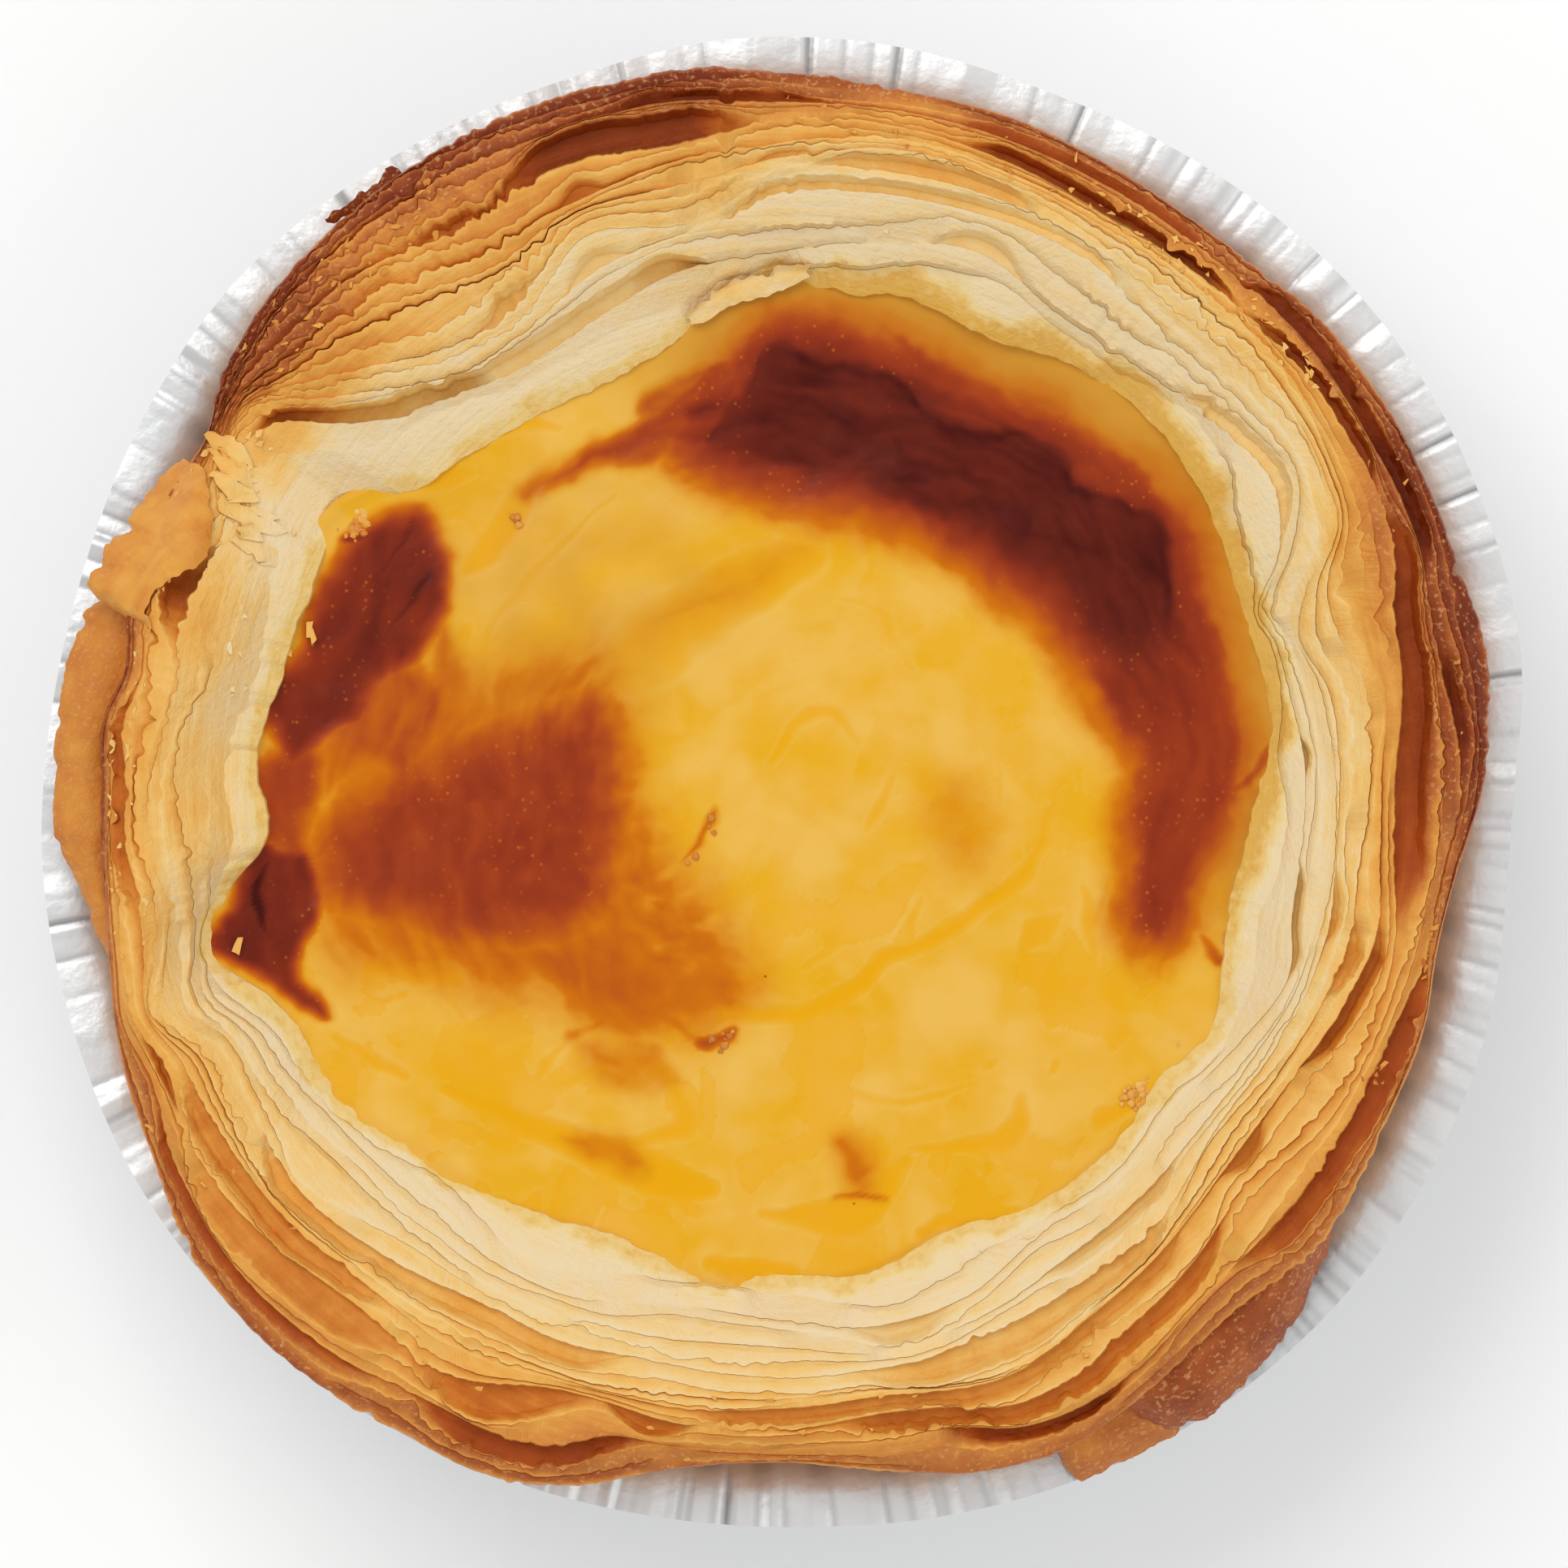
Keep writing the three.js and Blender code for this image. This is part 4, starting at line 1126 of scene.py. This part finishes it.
class Nodes:
    """Adds nodes to a new material. Inputs are other nodes' outputs, numbers or colour codes."""

    def __init__(self, name):
        self.material = bpy.data.materials.new(name)
        self.material.use_nodes = True
        self.tree = self.material.node_tree
        self.shader = self.tree.nodes["Principled BSDF"]

    def feed(self, socket, value):
        if isinstance(value, bpy.types.NodeSocket):
            self.tree.links.new(value, socket)
        else:
            socket.default_value = srgb(value) if isinstance(value, str) else value

    def node(self, kind, output, inputs, **settings):
        made = self.tree.nodes.new("ShaderNode" + kind)
        for key, value in settings.items():
            setattr(made, key, value)
        for key, value in inputs.items():
            self.feed(made.inputs[key], value)
        return made.outputs[output]

    def painted(self, name, output="Fac"):
        return self.node("Attribute", output, {}, attribute_name=name)

    def millimetres(self):
        """The point's place in millimetres."""
        place = self.node("TexCoord", "Object", {})
        return self.node("VectorMath", 0, {0: place, "Scale": 1000}, operation="SCALE")

    def noise(self, vector, scale, detail):
        return self.node("TexNoise", "Fac", {"Vector": vector, "Scale": scale, "Detail": detail})

    def ramp(self, value, *stops):
        """Colours, or grey levels, at positions along the value."""
        colour = self.node("ValToRGB", "Color", {"Fac": value})
        elements = colour.node.color_ramp.elements
        while len(elements) < len(stops):
            elements.new(0.5)
        for element, (position, shown) in zip(elements, stops):
            element.position = position
            element.color = srgb(shown) if isinstance(shown, str) else (shown, shown, shown, 1)
        return colour

    def math(self, operation, a, b):
        return self.node("Math", 0, {0: a, 1: b}, operation=operation)

    def plus(self, a, b):
        return self.math("ADD", a, b)

    def times(self, a, b):
        return self.math("MULTIPLY", a, b)

    def swing(self, value, amount):
        """A noise's swing about its middle, times an amount."""
        return self.times(self.math("SUBTRACT", value, 0.5), amount)

    def mix(self, factor, a, b):
        return self.node("Mix", 2, {"Factor": factor, 6: a, 7: b}, data_type="RGBA")

    def spots(self, place, scale, size, few):
        """Round spots: cells to a millimetre, spot size, and the share of the cells that have none."""
        cells = self.node("TexVoronoi", "Distance", {"Vector": place, "Scale": scale})
        near = self.ramp(cells, (0.3 * size, 1), (size, 0))
        chosen = self.ramp(cells.node.outputs["Color"], (few, 0), (few + 0.1, 1))
        return self.times(near, chosen)

    def bump(self, height, strength, distance):
        inputs = {"Height": height, "Strength": strength, "Distance": distance}
        self.feed(self.shader.inputs["Normal"], self.node("Bump", "Normal", inputs))

    def surface(self, colour, roughness, **others):
        """Feeds the shader; the other sockets are named with an underscore for each space."""
        self.feed(self.shader.inputs["Base Color"], colour)
        self.feed(self.shader.inputs["Roughness"], roughness)
        for key, value in others.items():
            self.feed(self.shader.inputs[key.replace("_", " ")], value)


def pastry_material():
    """Baked sheets: white dough through cream and gold to brown, streaked along the layers and speckled.

    In the gaps a warmer, darker painted shade stands in for the light that comes through the sheets; by the
    custard the dough is wet with it.
    """
    nodes = Nodes("baked_pastry")
    place = nodes.millimetres()
    bake = nodes.painted("bake")
    streak = nodes.noise(nodes.painted("streak", "Vector"), 1, 3)
    mottle = nodes.noise(place, 0.9, 5)
    level = nodes.plus(nodes.plus(bake, nodes.swing(streak, 0.2)), nodes.swing(mottle, 0.2))
    # The colour in open light, and a darker, warmer painted shade for the gaps, mixed in by the painted
    # shade value.
    lit = nodes.ramp(
        level, (0, "#e8d2a8"), (0.1, "#ebcd94"), (0.2, "#ecc378"), (0.3, "#eab560"), (0.42, "#e3a44a"),
        (0.55, "#d58c3c"), (0.68, "#c27436"), (0.82, "#a45428"), (1, "#782e14"),
    )
    sunk = nodes.ramp(
        level, (0, "#ecd092"), (0.14, "#ebc06c"), (0.28, "#e3a346"), (0.45, "#cc7628"), (0.65, "#a64a16"),
        (1, "#6a2408"),
    )
    shade = nodes.painted("shade")
    colour = nodes.mix(shade, lit, sunk)
    speck = nodes.ramp(nodes.noise(place, 3.6, 2), (0.56, 0), (0.68, 1))
    speck = nodes.times(speck, nodes.ramp(bake, (0.2, 0), (0.7, 0.45)))
    speck = nodes.times(speck, nodes.math("SUBTRACT", 1, shade))
    colour = nodes.mix(speck, colour, "#e3ac6c")
    wet = nodes.plus(nodes.painted("wet"), nodes.times(streak, 0.1))
    grain = nodes.swing(nodes.noise(place, 1.8, 4), 0.55)
    soak = nodes.plus(wet, nodes.times(grain, nodes.ramp(wet, (0.05, 0), (0.4, 1))))
    soaked = nodes.ramp(soak, (0.3, "#e9d5a8"), (0.6, "#e8cf94"), (0.8, "#e6c376"), (1, "#d9a644"))
    colour = nodes.mix(nodes.ramp(soak, (0.15, 0), (0.7, 0.9)), colour, soaked)
    nodes.surface(colour, 0.5, Specular_IOR_Level=0.12)
    relief = nodes.plus(streak, nodes.times(nodes.noise(place, 2.6, 4), 0.9))
    nodes.bump(nodes.plus(relief, nodes.times(nodes.noise(place, 5.5, 2), 0.5)), 0.45, 0.0002)
    return nodes.material


def custard_material():
    """Glossy set custard: yellow with deeper pools and amber edges, caramelised where it is painted so."""
    nodes = Nodes("set_custard")
    place = nodes.millimetres()
    pool = nodes.painted("pool")
    amber = nodes.painted("amber")
    cloud = nodes.ramp(nodes.noise(place, 0.22, 4), (0.38, 0), (0.62, 1))
    base = nodes.mix(cloud, "#e4aa1e", "#e7b44c")
    base = nodes.mix(nodes.times(pool, 0.9), base, "#e7a500")
    base = nodes.mix(nodes.times(pool, -0.7), base, "#ebc266")
    base = nodes.mix(amber, base, "#cf9432")
    level = nodes.plus(nodes.painted("caramel"), nodes.swing(nodes.noise(place, 1.6, 4), 0.06))
    browned = nodes.ramp(
        level, (0.15, "#dc9406"), (0.3, "#d27a02"), (0.42, "#c26206"), (0.52, "#b04c12"), (0.62, "#9c3a16"),
        (0.72, "#8a2e14"), (0.82, "#702312"), (0.92, "#58180d"), (1, "#440a04"),
    )
    thin = nodes.times(amber, nodes.ramp(level, (0.25, 0.8), (0.55, 0)))
    browned = nodes.mix(thin, browned, "#c28228")
    colour = nodes.mix(nodes.ramp(level, (0.06, 0), (0.34, 1)), base, browned)
    crowd = nodes.ramp(nodes.noise(place, 0.35, 2), (0.44, 0), (0.6, 1))
    bubble = nodes.times(nodes.spots(place, 2.4, 0.3, 0.45), crowd)
    near_fringe = nodes.ramp(level, (0.4, 0), (0.55, 0.6), (0.8, 0.5), (0.87, 0))
    colour = nodes.mix(nodes.times(bubble, near_fringe), colour, "#c8701e")
    colour = nodes.mix(nodes.spots(place, 0.4, 0.04, 0.7), colour, "#8a4a14")
    nodes.surface(colour, 0.24, Specular_IOR_Level=0.1)
    nodes.bump(nodes.noise(place, 0.7, 3), 0.15, 0.0003)
    return nodes.material


def foil_material():
    """Satin aluminium foil, with painted shade darker in its sharp creases and in the wall's pleat valleys.
    """
    nodes = Nodes("crinkled_foil")
    place = nodes.millimetres()
    # Painted shade, darker along the creases and in the pleat valleys.
    colour = nodes.mix(nodes.painted("crease"), "#e4e7e8", "#8f9191")
    roughness = nodes.ramp(nodes.noise(place, 0.5, 3), (0.3, 0.32), (0.7, 0.46))
    nodes.surface(colour, roughness, Metallic=0.62)
    nodes.bump(nodes.noise(place, 1, 3), 0.2, 0.0003)
    return nodes.material


def floor_material():
    nodes = Nodes("pale_floor")
    patchy = nodes.noise(nodes.millimetres(), 0.01, 2)
    nodes.surface(nodes.ramp(patchy, (0.3, "#fbfbfa"), (0.7, "#ffffff")), 0.8)
    return nodes.material


# ---- stage


# How bright the even surround is, and each light's place and size in metres and its power in watts.
SURROUND = 0.72
LIGHTS = {"key": ((-0.22, 0.4, 0.72), 0.5, 2.5), "fill": ((0.5, -0.3, 0.6), 0.6, 0.8)}


def camera():
    lens = bpy.data.cameras.new("camera")
    lens.sensor_width = SENSOR
    lens.lens = SENSOR * CAMERA_DISTANCE / FRAME_WIDTH
    lens.clip_start = 0.05
    lens.clip_end = 10
    x, y = FRAME_CENTRE
    height = CAMERA_DISTANCE + FOIL_RIM_HEIGHT
    bpy.context.scene.camera = placed("camera", lens, (x * MM, y * MM, height * MM))


def area_light(name, place, size, watts):
    """A soft square light that points at the tart."""
    light = bpy.data.lights.new(name, "AREA")
    light.size = size
    light.energy = watts
    made = placed(name, light, place)
    made.rotation_euler = (-made.location).to_track_quat("-Z", "Y").to_euler()


def studio():
    """An even white surround, a soft key light from the top of the photo and a weaker fill."""
    world = bpy.data.worlds.new("studio")
    world.use_nodes = True
    background = world.node_tree.nodes["Background"]
    background.inputs["Color"].default_value = (1, 1, 1, 1)
    background.inputs["Strength"].default_value = SURROUND
    bpy.context.scene.world = world
    for name, light in LIGHTS.items():
        area_light(name, *light)
    bpy.context.scene.view_settings.view_transform = "Standard"


def floor():
    points = FLOOR_HALF_WIDTH * np.array([(-1, -1, 0), (1, -1, 0), (1, 1, 0), (-1, 1, 0)])
    made = build_mesh("floor", points, [(0, 1, 2, 3)])
    made.data.materials.append(floor_material())
    made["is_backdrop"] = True


def finished(piece, material):
    piece.data.materials.append(material)
    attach(piece, "root")
    return piece


camera()
studio()
floor()

pastry = pastry_material()
layers, outermost = pastry_rim()
wall = finished(pastry_wall(outermost), pastry)
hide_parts("pastry_shell")
for piece in layers:
    finished(piece, pastry)
for number, (name, look) in enumerate(LEAVES.items()):
    finished(leaf(name, 300 + 10 * number, *look), pastry)
for number, look in enumerate(notch_strips()):
    finished(leaf(f"notch_strip_{number + 1}", 400 + 10 * number, *look), pastry)
finished(loose_flakes(), pastry)
finished(crumbs(), pastry)
filling = finished(custard(), custard_material())
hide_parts("custard")
cup = finished(foil_cup(), foil_material())
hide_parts("foil_case")

boxes = {"cad": cad_box, "visual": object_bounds()}
{name: [list(corner) for corner in box] for name, box in boxes.items()}
